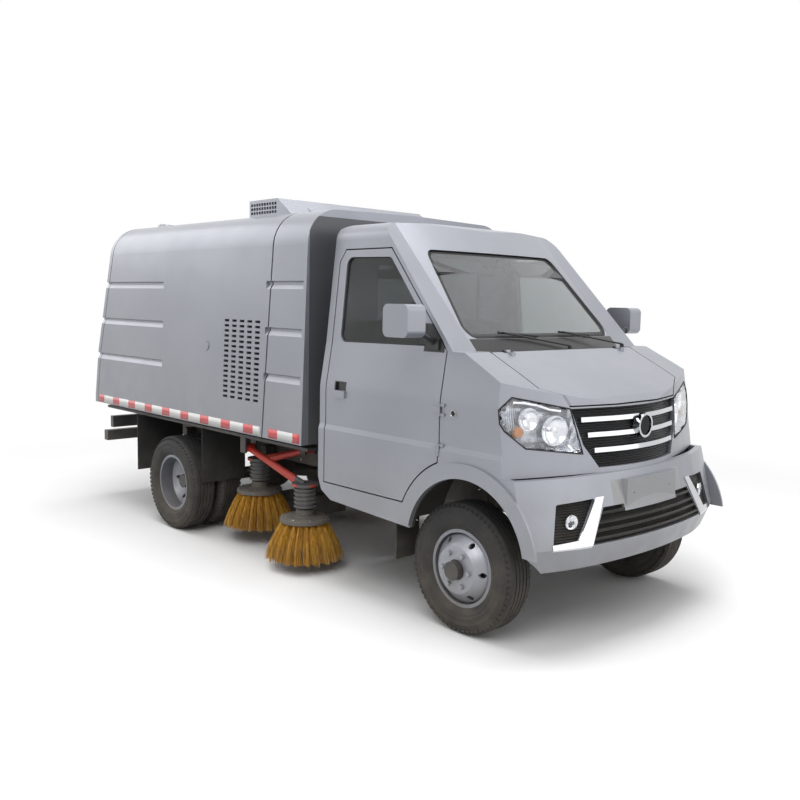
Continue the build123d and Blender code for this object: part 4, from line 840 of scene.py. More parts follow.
def build_paints():
    plastic, chassis, dark = swatch("plastic"), swatch("chassis"), swatch("dark_grey")
    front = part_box("body_front_section")[1].x
    wheel_wells = ((1.20, -0.802, 0.30), (1.98, 0.802, 0.80), chassis)
    scuttle = ((1.46, -0.600, 1.332), (1.70, 0.600, 1.397), plastic)
    plate_pad = ((2.10, -0.30, 0.632), (2.30, 0.30, 0.766), (0.33, 0.335, 0.35, 1))
    mirror_arm = ((1.36, 0.720, 1.335), (1.50, 0.861, 1.470), plastic)
    door_handle = ((0.728, 0.700, 1.0965), (0.824, 0.900, 1.145), plastic)
    front_face = ((front - 0.006, -0.80, 0.70), (front + 0.01, 0.80, 2.03), dark)
    floor_mat = ((0.6, -0.8, 0.6), (1.7, 0.8, 0.74), (0.02, 0.02, 0.02, 1))
    emblem = ((2.05, -0.0485, 0.9515), (2.12, 0.0485, 1.0485), plastic)
    PAINTS.update(
        cab=silver_paint("Silver cab paint", [wheel_wells, scuttle]),
        panel=silver_paint("Silver panel paint", [plate_pad]),
        door=silver_paint("Silver door paint", both_sides([mirror_arm, door_handle])),
        body=silver_paint("Silver body paint", [front_face], amount=0.42, high=1.3),
        inner=enamel("Dark grey paint", dark, 0.2),
        chassis=enamel("Chassis paint", chassis, amount=0.75),
        cast=enamel("Cast metal", (0.11, 0.11, 0.11, 1), 0.6, 0.45, 0.65, amount=0.8, scale=160.0, bump=0.4),
        plastic=enamel("Grained plastic", plastic, 0.0, 0.38, 0.55, wear=0.08, scale=320.0, bump=0.2),
        gloss=slatted("Gloss black grille", plastic),
        interior=enamel("Cab trim plastic", swatch("interior"), 0.0, 0.5, 0.7, [floor_mat], amount=0.3,
                        wear=0.05, scale=420.0, bump=0.35),
        rubber=rubber("Moulded rubber", swatch("rubber")),
        tyre=rubber("Tyre rubber", swatch("rubber"), 0.42, 0.6, 0.75, 90.0),
        chrome=chrome("Bright chrome", zones=[emblem]),
        steel=chrome("Dull steel", (0.42, 0.42, 0.43, 1)),
        mirror=chrome("Mirror silver", (0.80, 0.81, 0.83, 1)),
        cloth=seat_cloth(),
        glass=clear_glass("Tinted window glass", swatch("glass"), 1.9),
        side_glass=clear_glass("Dark door glass", swatch("side_glass")),
        clear=clear_glass("Clear lens", (0.97, 0.98, 1.0, 1)),
        amber=lens("Amber lens", swatch("amber")),
        housing=lamp_housing(),
        red=lens("Red lens", swatch("lamp_red"), both_sides(tail_zones())),
        bristle=bristle_finish())
    for kind in ("front", "rear"):
        x, y, _ = middle(kind + "_brush_left")
        motor = ((x - 0.075, y - 0.075, 0.28), (x + 0.075, y + 0.075, 0.545), dark)
        PAINTS["arm_" + kind] = enamel("Brush arm red " + kind, swatch("arm_red"), 0.0, 0.3, 0.48,
                                       both_sides([motor]), 0.5, 0.9, 0.5)


CAD_FINISH = {
    "chassis": ("chassis_frame", "rear_axle", "front_suspension", "body_subframe"),
    "cast": ("engine_and_driveline", "knuckle_left", "knuckle_right"),
    "cab": ("cab_shell",), "panel": ("front_bumper", "hood_lid"), "door": ("door_left", "door_right"),
    "body": ("hopper", "body_front_section", "roof_intake_hood", "rear_door"),
    "inner": ("suction_mouth", "rear_bumper"), "interior": ("cab_interior", "dashboard"),
    "glass": ("cab_glass",), "side_glass": ("door_glass_left", "door_glass_right"),
    "gloss": ("grille",), "chrome": ("chrome_trims",), "plastic": ("wipers",), "rubber": ("mudguards",),
    "red": ("tail_lamps",), "arm_front": ("front_brush_arm_left", "front_brush_arm_right"),
    "arm_rear": ("rear_brush_arm_left", "rear_brush_arm_right")}


class SWEEPER_OT_finishes(bpy.types.Operator):
    """Builds the shared effects and materials and puts them on the frame's solids"""
    bl_idname = "sweeper.finishes"
    bl_label = "Finishes on the solids"

    def execute(self, context):
        GROUPS.update(dust=dust_group(), grain=grain_group(), flake=flake_group(), scuff=scuff_group(),
                      zone=zone_group(), weave=weave_group())
        build_paints()
        for finish, nodes in CAD_FINISH.items():
            for node in nodes:
                put_on(node, PAINTS[finish])
        for side, _ in SIDES:
            for rim in ("front_rim_", "rear_rims_"):
                put_on(rim + side, wheel_paint("Wheel silver " + rim + side, rim + side))
        return {"FINISHED"}


def put_on(node, material):
    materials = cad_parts[node].data.materials
    materials.clear()
    materials.append(material)


# ---------------------------------------------------------------- tyres

TYRE_HALF, BEAD, TWIN_INSET = 0.0872, 0.1795, 0.0875
TREAD_EDGE, TREAD_RIBS, GROOVE_HALF, GROOVE_FOOT = 0.027, 5, 0.0035, 0.0025
TYRE_INSET, TYRE_STEPS, TYRE_CREASE = 0.0006, 96, 28.0
LUG_PITCH, LUG_HALF, LUG_ROOT, LUG_RISE, LUG_BEVEL = 1.45, 0.011, 0.006, 0.0035, 0.0016
LUG_FROM_WALL, LUG_FROM_CROWN, LUG_LEAN = 0.0155, 0.0130, (0.80, 0.60)


def tyre_profile(radius):
    """One closed section of a tyre, as (along, radius) pairs: beads, ribbed walls and a grooved tread."""
    wall = [(0.030, BEAD), (0.024, BEAD + 0.008), (0.008, BEAD + 0.028), (0.003, BEAD + 0.040),
            (0.0045, BEAD + 0.043), (0.001, BEAD + 0.060), (0.0025, BEAD + 0.063), (0.0025, BEAD + 0.085),
            (0.001, BEAD + 0.088), (0.006, radius - 0.034), (0.012, radius - 0.020), (0.019, radius - 0.008),
            (TREAD_EDGE, radius - 0.002)]
    wall = [(-TYRE_HALF + inset, far) for inset, far in wall]
    rib = (TYRE_HALF - TREAD_EDGE) * 2 / TREAD_RIBS
    tread = []
    for number in range(1, TREAD_RIBS):
        groove = -TYRE_HALF + TREAD_EDGE + number * rib
        tread += [(groove + along, radius - depth) for along, depth in (
            (-GROOVE_HALF, TYRE_INSET), (-GROOVE_FOOT, sizes().groove),
            (GROOVE_FOOT, sizes().groove), (GROOVE_HALF, TYRE_INSET))]
    return wall + tread + [(-along, far) for along, far in reversed(wall)]


def make_tyre(name, body, node, centres):
    """Tyres of one body: a casing with a grooved tread, and shoulder lugs repeated round each."""
    low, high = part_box(node)
    x, z = (low.x + high.x) / 2, (low.z + high.z) / 2
    radius = (high.x - low.x) / 2 - TYRE_INSET
    casing, lug, rows = Shape(), Shape(), []
    count = int(2 * math.pi * radius / (sizes().lug * LUG_PITCH))
    outwards, sideways = LUG_LEAN
    for centre in centres:
        casing.lathe(tyre_profile(radius), TYRE_STEPS, shifted((x, centre, z)), closed=True)
        for step in range(count):
            angle = 2 * math.pi * step / count
            out = Vector((math.cos(angle), 0.0, math.sin(angle)))
            for side in (-1.0, 1.0):
                shoulder = Vector((x, centre + side * (TYRE_HALF - LUG_FROM_WALL), z))
                facing = (out * outwards + Vector((0.0, side * sideways, 0.0))).normalized()
                rows.append((shoulder + out * (radius - LUG_FROM_CROWN), facing, out.cross(Vector(LEFTWARD))))
    fit(casing, name, "tyre", body, "tyre_rubber", node, sharp=TYRE_CREASE)
    half = sizes().lug / 2
    lug.box((-half, -LUG_HALF, -LUG_ROOT), (half, LUG_HALF, LUG_RISE), bevel=LUG_BEVEL)
    repeated(name + "_lugs", lug, rows, "tyre", body, "tyre_rubber")


class SWEEPER_OT_tyres(bpy.types.Operator):
    """Grooved road tyres with shoulder lugs, single in front and twin behind"""
    bl_idname = "sweeper.tyres"
    bl_label = "Tyres"

    def execute(self, context):
        for side, _ in SIDES:
            front, rear = "front_tyre_" + side, "rear_tyres_" + side
            make_tyre("tyre_front_" + side, "front_wheel_" + side, front, (middle(front).y,))
            low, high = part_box(rear)
            make_tyre("tyres_rear_" + side, "rear_wheels_" + side, rear,
                      (low.y + TWIN_INSET, high.y - TWIN_INSET))
        return {"FINISHED"}


# ---------------------------------------------------------------- brushes

BRUSH_TUFTS, BRUSH_BOLTS, PLATE_BOLT_RING = 22.0, 8, 0.130
TUFT_TOP, TUFT_FOOT, TUFT_FLARE = 0.134, 0.236, 0.010
PLATE_DROP, PLATE_STEPS, TUFT_ROOT = 0.048, 64, 0.024
BOLT_LIFT, PLATE_BOLT = 0.0005, 0.5
BRISTLE_SEEDS = {"front": 3, "rear": 9}


def bristle_finish():
    """Strand colour that changes from strand to strand, dustier near the road."""
    finish = Finish("Plastic bristles", Specular_IOR_Level=0.3)
    streak = finish.noise(85.0, 3.0, finish.vector("MULTIPLY", finish.place(), (1.0, 1.0, 0.12)))
    tone = finish.mix(finish.remap(streak, 0.38, 0.66), swatch("bristle"), swatch("bristle_dark"))
    return finish.done((200.0, 0.5, 0.7), (0.2, 0.0006), finish.dusty(tone, 0.02, 0.40, 0.35, 14.0))


def hex_bolt(scale):
    """A hexagon head on a washer, standing on z = 0."""
    shape = Shape()
    wide = sizes().bolt * scale
    for profile, segments in ((((0.0, 0.62), (0.12, 0.62), (0.14, 0.58)), 18),
                              (((0.14, 0.5), (0.52, 0.5), (0.60, 0.42)), 6)):
        shape.lathe([(along * wide, far * wide) for along, far in profile], segments, turned(90, "X"))
    return shape


def make_brush(kind, side):
    """The plate of one side brush, its bolts and its skirt of bristles."""
    label = "_%s_%s" % (kind, side)
    node = body = "%s_brush_%s" % (kind, side)
    low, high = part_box(node)
    x, y, _ = (low + high) / 2
    drop = high.z - PLATE_DROP
    plate = Shape()
    plate.lathe([(drop - 0.026, 0.020), (drop - 0.026, 0.143), (drop - 0.023, 0.1455), (drop - 0.003, 0.1455),
                 (drop, 0.1425), (drop, 0.118), (drop + 0.004, 0.114), (drop + 0.004, 0.072),
                 (drop + 0.010, 0.064), (drop + 0.012, 0.052), (high.z - 0.004, 0.050), (high.z, 0.047),
                 (high.z, 0.020)], PLATE_STEPS, shifted((x, y, 0.0)) @ turned(90, "X"), closed=True)
    fit(plate, "brush_plate" + label, "cast", body, "chassis_black", node, sharp=FINE_CREASE)
    rows = []
    for step in range(BRUSH_BOLTS):
        angle = 2 * math.pi * (step + 0.5) / BRUSH_BOLTS
        out = Vector((math.cos(angle), math.sin(angle), 0.0))
        rows.append((Vector((x, y, drop + BOLT_LIFT)) + out * PLATE_BOLT_RING, UP, out))
    repeated("brush_bolts" + label, hex_bolt(PLATE_BOLT), rows, "steel", body, "cast_metal")
    if "bristle" not in TREES:
        TREES["bristle"] = bristle_tree()
    seed = bpy.data.meshes.new(node + "_seed")
    seed.from_pydata([(0, 0, 0)], [], [])
    root = drop - TUFT_ROOT
    bristles = grown("bristles" + label, TREES["bristle"], seed, {
        "Count": sizes().tuft_strands, "Tufts": BRUSH_TUFTS, "Top radius": TUFT_TOP, "Low radius": TUFT_FOOT,
        "Height": root - low.z, "Width": sizes().strand, "Flare": TUFT_FLARE, "Seed": BRISTLE_SEEDS[kind],
        "Material": PAINTS["bristle"]}, shifted((x, y, root)))
    carry(bristles, body, slot="bristle")


class SWEEPER_OT_brushes(bpy.types.Operator):
    """Side brushes: a bolted plate with a skirt of ochre bristles"""
    bl_idname = "sweeper.brushes"
    bl_label = "Side brushes"

    def execute(self, context):
        for side, _ in SIDES:
            for kind in ("front", "rear"):
                make_brush(kind, side)
        return {"FINISHED"}


# ---------------------------------------------------------------- reflective tape

TAPE_RISE, TAPE_STEP, RED_SHARE, HONEYCOMB = 0.006, 0.02, 0.42, 260.0
REAR_TAPE_CENTRE, REAR_TAPE_HALF, REAR_TAPE_START = 0.70, 0.10, -0.80
BESIDE, BEHIND = 1.2, 0.5


def tape_finish(name, axis, start):
    """Red and white lengths in turn along one axis, with a fine honeycomb."""
    finish = Finish(name, Coat_Weight=0.3)
    along = finish.over(finish.minus(finish.split(finish.place())[axis], start), sizes().tape_length)
    half = finish.maths("GREATER_THAN", finish.maths("FRACT", along), RED_SHARE)
    cells = finish.cells(HONEYCOMB, feature="DISTANCE_TO_EDGE")[0]
    edge = finish.times(finish.maths("LESS_THAN", cells, 0.06), 0.25)
    tone = finish.mix(edge, finish.mix(half, swatch("tape_red"), swatch("tape_white")), swatch("dust"))
    return finish.done((60.0, 0.25, 0.4), (0.1, 0.0005), finish.dusty(tone, 0.45, 1.0, 0.3, 12.0), cells)


class SWEEPER_OT_tape(bpy.types.Operator):
    """Red and white reflective tape along the foot of the body and the rear door"""
    bl_idname = "sweeper.tape"
    bl_label = "Reflective tape"

    def execute(self, context):
        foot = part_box("body_front_section")[0].z + TAPE_RISE
        levels = (foot, foot + sizes().tape_width)
        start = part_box("hopper")[0].x
        PAINTS["side_tape"] = tape_finish("Side tape", 0, start)
        PAINTS["rear_tape"] = tape_finish("Rear tape", 1, REAR_TAPE_START)
        for label, body, node, rear_gap, front_gap in (
                ("hopper", "hopper", "hopper", 0.012, 0.085),
                ("front_section", "truck", "body_front_section", 0.055, 0.02)):
            low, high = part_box(node)
            places = spread(low.x + rear_gap, high.x - front_gap, TAPE_STEP)
            self.strip("tape_" + label, node, body, "side_tape", [
                ([[(x, sign * BESIDE, z) for z in levels] for x in places], (0.0, -sign, 0.0))
                for _, sign in SIDES])
        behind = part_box("rear_door")[0].x - BEHIND
        self.strip("tape_rear_door", "rear_door", "rear_door", "rear_tape", [
            ([[(behind, y, z) for z in levels]
              for y in spread(centre - REAR_TAPE_HALF, centre + REAR_TAPE_HALF, TAPE_STEP)], AHEAD)
            for centre in (-REAR_TAPE_CENTRE, REAR_TAPE_CENTRE)])
        return {"FINISHED"}

    def strip(self, name, node, body, finish, runs):
        """Lengths of tape laid on one node, as one piece: each run has its rows and their direction."""
        shape, hit = Shape(), surface_of(node)
        for rows, direction in runs:
            laid_strip(shape, hit, rows, direction)
        fit(shape, name, finish, body, "bright_trim")


# ---------------------------------------------------------------- windows

SCREEN_WAY, SCREEN_NORMAL = (1.0, 0.0, 0.9), (0.737, 0.0, 0.677)
BORDER_STEP, SHORTEST_BORDER = 0.02, 1.0
SLOPING, UPRIGHT = 0.6, 0.8
BAND_RINGS, BAND_LIFTS, ABOVE_GLASS = (0.15, 0.55, 1.0), (0.0006, 0.0002), 0.05


class SWEEPER_OT_windows(bpy.types.Operator):
    """Rubber seals round every window and the dark band round the windscreen"""
    bl_idname = "sweeper.windows"
    bl_label = "Window seals"

    def execute(self, context):
        for side, sign in SIDES:
            self.seal("door_glass_" + side, (0.0, sign, 0.25), "door_" + side, "window_seal_" + side)
        self.seal("cab_glass", SCREEN_WAY, "truck", "screen_seal")
        self.seal("cab_glass", BACK, "truck", "rear_window_seal", UPRIGHT)
        self.band()
        return {"FINISHED"}

    def seal(self, node, towards, body, name, limit=SLOPING):
        """A rubber bead round each large pane of a node that looks the given way."""
        work, shape = facing_patch(node, towards, limit), Shape()
        for loop in border_loops(work):
            if path_length(loop) > SHORTEST_BORDER:
                tube_along(shape, evened(loop, BORDER_STEP), sizes().seal)
        work.free()
        if not shape.faces:
            raise RuntimeError("no border found on " + node)
        fit(shape, name, "rubber", body, "flap_rubber")

    def band(self):
        """A dark printed band inside the windscreen's border, laid on the glass."""
        work = facing_patch("cab_glass", SCREEN_WAY, SLOPING)
        path = evened(max(border_loops(work), key=path_length), BORDER_STEP)
        work.free()
        heart = sum(path, Vector()) / len(path)
        outwards = Vector(SCREEN_NORMAL)
        hit = surface_of("cab_glass")
        found = []
        for share in BAND_RINGS:
            for index, point in enumerate(path):
                along = (path[(index + 1) % len(path)] - path[index - 1]).normalized()
                inwards = along.cross(outwards)
                if inwards.dot(heart - point) < 0:
                    inwards = -inwards
                above = point + inwards * (sizes().band * share) + outwards * ABOVE_GLASS
                found.append(hit(above, -outwards))
        if None in found:
            raise RuntimeError("the windscreen band misses the glass")
        shape, count = Shape(), len(path)
        for lift in BAND_LIFTS:
            shape.points += [p + n * lift for p, n in found]
        under, steps = 3 * count, [(i, (i + 1) % count) for i in range(count)]
        for ring in (0, count):
            for i, j in steps:
                a, b, c, d = ring + i, ring + j, ring + count + j, ring + count + i
                shape.faces += [[a, b, c, d], [under + d, under + c, under + b, under + a]]
        for ring in (0, 2 * count):
            shape.faces += [[ring + i, ring + j, under + ring + j, under + ring + i] for i, j in steps]
        fit(shape, "screen_band", "plastic", "truck", "grille_black")


# ---------------------------------------------------------------- headlamps

LAMP_CELL, LAMP_AHEAD = 0.022, 3.0
LAMP_FOOT, LAMP_BACK, LAMP_INBOARD, LAMP_WING = 0.80, 1.70, 0.35, 0.805
LENS_THICK, HOUSING_THICK, CORNER_THICK = 0.003, 0.002, 0.004
HOUSING_START, HOUSING_DEPTH, HOUSING_SLOPE = 0.0036, 0.052, 1.5
BOWL_BEHIND, BOWL_DEPTH, INDICATOR_BEHIND = 0.020, 0.030, 0.016
LAMP_SEAL, LAMP_SEAL_STEP, BROW_BEHIND, BROW_RADIUS = 0.0034, 0.012, 0.012, 0.0065
LAMP_BOWLS = ((0.530, 1.000, 0.066), (0.658, 1.056, 0.050))
LAMP_BROW = ((0.500, 1.088), (0.560, 1.098), (0.620, 1.118), (0.680, 1.130), (0.735, 1.134))
INDICATOR, FOG_LAMP = (0.712, 1.000), (0.572, 0.608)
LAMP_TOE_OUT, FOG_TOE_OUT = 20, 17


def lamp_skin(chosen):
    """The chosen part of the headlamps' outer skin as an open patch, cut into small cells."""
    work = node_mesh("headlamps")
    keep_faces(work, chosen)
    low, high = (Vector(pick(v.co[i] for v in work.verts) for i in range(3)) for pick in (min, max))
    for axis in (1, 2):
        level = low[axis] + LAMP_CELL
        while level < high[axis] - LAMP_CELL / 2:
            place, way = Vector(), Vector()
            place[axis], way[axis] = level, 1.0
            bmesh.ops.bisect_plane(work, geom=work.verts[:] + work.edges[:] + work.faces[:],
                                   plane_co=place, plane_no=way)
            level += LAMP_CELL
    work.normal_update()
    return work


def on_lamp(face, side, outboard):
    """Whether a face belongs to the headlamp on a side, and not to its fog lamp or marker."""
    spot = face.calc_center_median()
    return spot.y * side > outboard and spot.z > LAMP_FOOT and spot.x > LAMP_BACK


def shell_between(shape, work, near, far):
    """A closed shell over an open patch; near and far give each point's depth below the patch."""
    work.verts.ensure_lookup_table()
    work.verts.index_update()
    count = len(work.verts)
    points = [v.co - v.normal * depth(v) for depth in (near, far) for v in work.verts]
    faces = [[v.index for v in f.verts] for f in work.faces]
    faces += [[count + v.index for v in reversed(f.verts)] for f in work.faces]
    for edge in work.edges:
        if len(edge.link_faces) == 1:
            a, b = (v.index for v in edge.verts)
            faces.append([a, b, count + b, count + a])
    shape.put(points, faces)


def reflector(shape, aim, radius, depth):
    """A bowl reflector with its bulb cap, opening along the aim's Y axis."""
    bowl = [(0.0, 1.0), (-0.45, 0.80), (-0.85, 0.42), (-1.0, 0.10)]
    back = [(-0.88, 0.45), (-0.48, 0.84)]
    bulb = [(-1.0, 0.0), (-1.0, 0.11), (-0.35, 0.11), (-0.30, 0.22), (-0.22, 0.22), (-0.15, 0.14),
            (-0.13, 0.0)]
    bowl, back, bulb = ([(along * depth, far * radius) for along, far in part] for part in (bowl, back, bulb))
    rim = [(-0.001, 1.06 * radius), (0.002, 1.05 * radius), (0.002, 1.0 * radius)]
    shape.lathe(bowl + [(-depth - 0.003, 0.10 * radius)] + back + rim, 40, aim, closed=True)
    shape.lathe(bulb, 20, aim)


class SWEEPER_OT_headlamps(bpy.types.Operator):
    """Headlamps with lens, fluted housing, bowls and indicator; fog lamps; and side markers"""
    bl_idname = "sweeper.headlamps"
    bl_label = "Headlamps"

    def execute(self, context):
        shapes = [Shape() for _ in range(6)]
        for _, side in SIDES:
            self.lamp(side, *shapes)
        lenses, housings, bowls, seals, ambers, corners = shapes
        fit(lenses, "lamp_lenses", "clear", "truck", "lamp_clear", "headlamps")
        for name, shape, finish, slot in (("lamp_housings", housings, "housing", "lamp_clear"),
                                          ("lamp_reflectors", bowls, "mirror", "bright_trim"),
                                          ("lamp_seals", seals, "rubber", "flap_rubber"),
                                          ("lamp_corners", corners, "panel", "silver_paint"),
                                          ("lamp_indicators", ambers, "amber", "rear_red")):
            fit(shape, name, finish, "truck", slot, sharp=FINE_CREASE)
        self.markers()
        return {"FINISHED"}

    def lamp(self, side, lenses, housings, bowls, seals, ambers, corners):
        """Everything of the lamps on one side but the marker."""
        hit = surface_of("headlamps")

        def front(y, z, depth=0.0):
            """A place on the lamps' front, or a depth behind it."""
            return hit((LAMP_AHEAD, side * y, z), BACK)[0] - Vector((depth, 0.0, 0.0))

        def aimed(place, degrees):
            return shifted(place) @ turned(side * degrees, "Z") @ turned(-90, "Z")

        wing = lamp_skin(lambda face: on_lamp(face, side, LAMP_WING) and face.normal.y * side > 0.95)
        shell_between(corners, wing, lambda v: 0.0, lambda v: CORNER_THICK)
        wing.free()
        skin = lamp_skin(lambda face: on_lamp(face, side, LAMP_INBOARD) and face.normal.x > 0.5)
        border = [v.co.copy() for v in skin.verts if v.is_boundary]
        if not border:
            raise RuntimeError("the headlamp skin has no border")
        reach = {v.index: min((v.co - b).length for b in border) for v in skin.verts}

        def bowl_depth(vert):
            return HOUSING_START + min(HOUSING_DEPTH, HOUSING_SLOPE * reach[vert.index])

        shell_between(lenses, skin, lambda v: 0.0, lambda v: LENS_THICK)
        shell_between(housings, skin, bowl_depth, lambda v: bowl_depth(v) + HOUSING_THICK)
        for loop in border_loops(skin):
            tube_along(seals, evened(loop, LAMP_SEAL_STEP), LAMP_SEAL)
        skin.free()
        for y, z, radius in LAMP_BOWLS:
            reflector(bowls, aimed(front(y, z, BOWL_BEHIND), LAMP_TOE_OUT), radius, BOWL_DEPTH)
        ambers.lathe([(-0.028, 0.0), (-0.028, 0.020), (-0.010, 0.026), (0.0, 0.024), (0.004, 0.0)], 24,
                     aimed(front(*INDICATOR, INDICATOR_BEHIND), LAMP_TOE_OUT))
        tube_along(bowls, [front(y, z, BROW_BEHIND) for y, z in LAMP_BROW], BROW_RADIUS, closed=False)
        fog = aimed(front(*FOG_LAMP), FOG_TOE_OUT)
        lenses.lathe([(-0.012, 0.0345), (-0.003, 0.0345), (-0.0005, 0.030), (0.0, 0.016), (0.0, 0.0005),
                      (-0.002, 0.0005), (-0.002, 0.016), (-0.0025, 0.029), (-0.005, 0.0325),
                      (-0.012, 0.0325)], 36, fog, closed=True)
        bowls.lathe([(-0.0055, 0.0320), (-0.012, 0.024), (-0.016, 0.010), (-0.017, 0.0005), (-0.0185, 0.0005),
                     (-0.0180, 0.012), (-0.0140, 0.026), (-0.0125, 0.0345), (-0.0055, 0.0345)],
                    36, fog, closed=True)

    def markers(self):
        """Round side markers: a clear lens in a bright ring."""
        caps, rims = Shape(), Shape()
        low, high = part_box("headlamps")
        for _, side in SIDES:
            place = shifted((low.x + 0.017, side * (high.y - 0.007), 1.060))
            if side < 0:
                place = place @ turned(180, "Z")
            caps.lathe([(0.0, 0.0), (0.0, 0.0125), (0.0035, 0.0125), (0.0058, 0.0095), (0.0066, 0.0)],
                       28, place)
            rims.lathe([(0.0, 0.0127), (0.0, 0.017), (0.0045, 0.017), (0.0055, 0.0155), (0.0055, 0.0140),
                        (0.0040, 0.0127)], 28, place, closed=True)
        fit(caps, "marker_lenses", "clear", "truck", "lamp_clear", sharp=FINE_CREASE)
        fit(rims, "marker_rings", "steel", "truck", "bright_trim", sharp=FINE_CREASE)


# ---------------------------------------------------------------- seats

CUSHION = ((0.752, 0.160, 0.822), (1.180, 0.580, 0.912))
BACKREST = ((0.672, 0.172, 0.945), (0.772, 0.568, 1.488))
BACKREST_LEAN, PAD_CORNER, PAD_CELL = 0.012, 0.035, 0.011
SWELL_FRAMES, SWELL_PRESSURE, PAD_FILL = 20, 4.0, 0.75
CHANNEL_HALF, SEAM_DEPTH, RIB_DEPTH = 0.010, 0.005, 0.004


def soft_block(name, low, high, lean=0.0):
    """A rounded block that starts a seat pad; lean moves its top backwards."""
    work = block(low, high, PAD_CORNER, segments=4, profile=0.5)
    low, high = Vector(low), Vector(high)
    for vert in work.verts:
        vert.co.x -= lean * (vert.co.z - low.z) / (high.z - low.z)
    mesh = bpy.data.meshes.new(name)
    work.to_mesh(mesh)
    work.free()
    return linked(name, mesh)


def applied(piece):
    """Turns a piece's modifiers into its plain mesh."""
    mesh = evaluated(piece)
    piece.modifiers.clear()
    piece.data = mesh


def swollen(piece):
    """Blows a block up as cloth under pressure, no point moving further than the cap."""
    remesh = piece.modifiers.new("Cells", "REMESH")
    remesh.mode, remesh.voxel_size = "VOXEL", PAD_CELL
    bpy.context.view_layer.update()
    applied(piece)
    start = [v.co.copy() for v in piece.data.vertices]
    scene = bpy.context.scene
    cloth = piece.modifiers.new("Swell", "CLOTH")
    cloth.settings.use_pressure = True
    cloth.settings.uniform_pressure_force = SWELL_PRESSURE
    cloth.settings.effector_weights.gravity = 0.0
    cloth.settings.quality = 4
    cloth.point_cache.frame_start, cloth.point_cache.frame_end = 1, SWELL_FRAMES
    for frame_number in range(1, SWELL_FRAMES + 1):
        scene.frame_set(frame_number)
    applied(piece)
    scene.frame_set(1)
    cap = sizes().pad_cap
    for vert, home in zip(piece.data.vertices, start):
        move = vert.co - home
        if move.length > cap:
            vert.co = home + move * (cap / move.length)
    smooth = piece.modifiers.new("Smooth", "SUBSURF")
    smooth.levels = smooth.render_levels = 1
    bpy.context.view_layer.update()
    applied(piece)


def sewn(piece, axis, lines, depth, where):
    """Presses sewn channels into a pad, across one axis."""
    for vert in piece.data.vertices:
        for line in lines:
            off = (vert.co[axis] - line) / CHANNEL_HALF
            if abs(off) < 1.0 and where(vert.co):
                vert.co -= vert.normal * depth * (1.0 + math.cos(math.pi * off)) / 2


class SWEEPER_OT_seats(bpy.types.Operator):
    """Two cloth seats: padded cushion and backrest with sewn channels"""
    bl_idname = "sweeper.seats"
    bl_label = "Seats"

    def execute(self, context):
        cushion = soft_block("cushion", *CUSHION)
        swollen(cushion)
        sewn(cushion, 1, (0.235, 0.505), SEAM_DEPTH, lambda p: p.z > 0.88)
        sewn(cushion, 0, (0.86, 0.96, 1.06), RIB_DEPTH, lambda p: p.z > 0.88 and 0.235 < p.y < 0.505)
        back = soft_block("backrest", *BACKREST, BACKREST_LEAN)
        swollen(back)
        sewn(back, 1, (0.240, 0.500), SEAM_DEPTH, lambda p: p.x > 0.70 and p.z < 1.34)
        sewn(back, 2, (1.06, 1.16, 1.26, 1.34), RIB_DEPTH, lambda p: p.x > 0.70 and 0.24 < p.y < 0.50)
        for pad, stem in ((cushion, "seat_cushion_"), (back, "seat_back_")):
            for side, sign in SIDES:
                mesh = pad.data.copy()
                if sign < 0:
                    mesh.transform(Matrix.Diagonal((1.0, -1.0, 1.0, 1.0)))
                    mesh.flip_normals()
                smoothed(mesh)
                mesh.materials.clear()
                mesh.materials.append(PAINTS["cloth"])
                piece = linked(stem + side, mesh)
                carry(piece, "truck", "seats", slot="seat_cloth")
            bpy.data.objects.remove(pad)
        return {"FINISHED"}


# ---------------------------------------------------------------- cab fittings

VENTS, VENT_LEVEL, VENT_HALF = (-0.60, -0.16, 0.16, 0.60), 1.235, (0.062, 0.026)
VENT_BLADES, BLADE_PITCH, BLADE_HALF = 4, 0.012, (0.056, 0.002)
BINNACLE, DIALS = (0.37, 1.262), (-0.062, 0.062)
LEVER_FOOT = (1.22, 0.0, 0.8105)
MIRROR_LEVELS, MIRROR_HALF, MIRROR_INSET, BEHIND_MIRROR = (1.418, 1.547), 0.047, 0.058, 0.5
MIRROR_PANE, PANE_BEVEL, PAST_WHEEL = (0.0016, 0.0004), 0.0004, 0.290
VISORS, VISOR_TILT, MIRROR_TILT = (-0.33, 0.33), 38, -8
KICK_PLATE, KICK_RIBS = (0.612, 1.312, 0.572), (0.625, 1.288, (0.600, 0.620, 0.640))


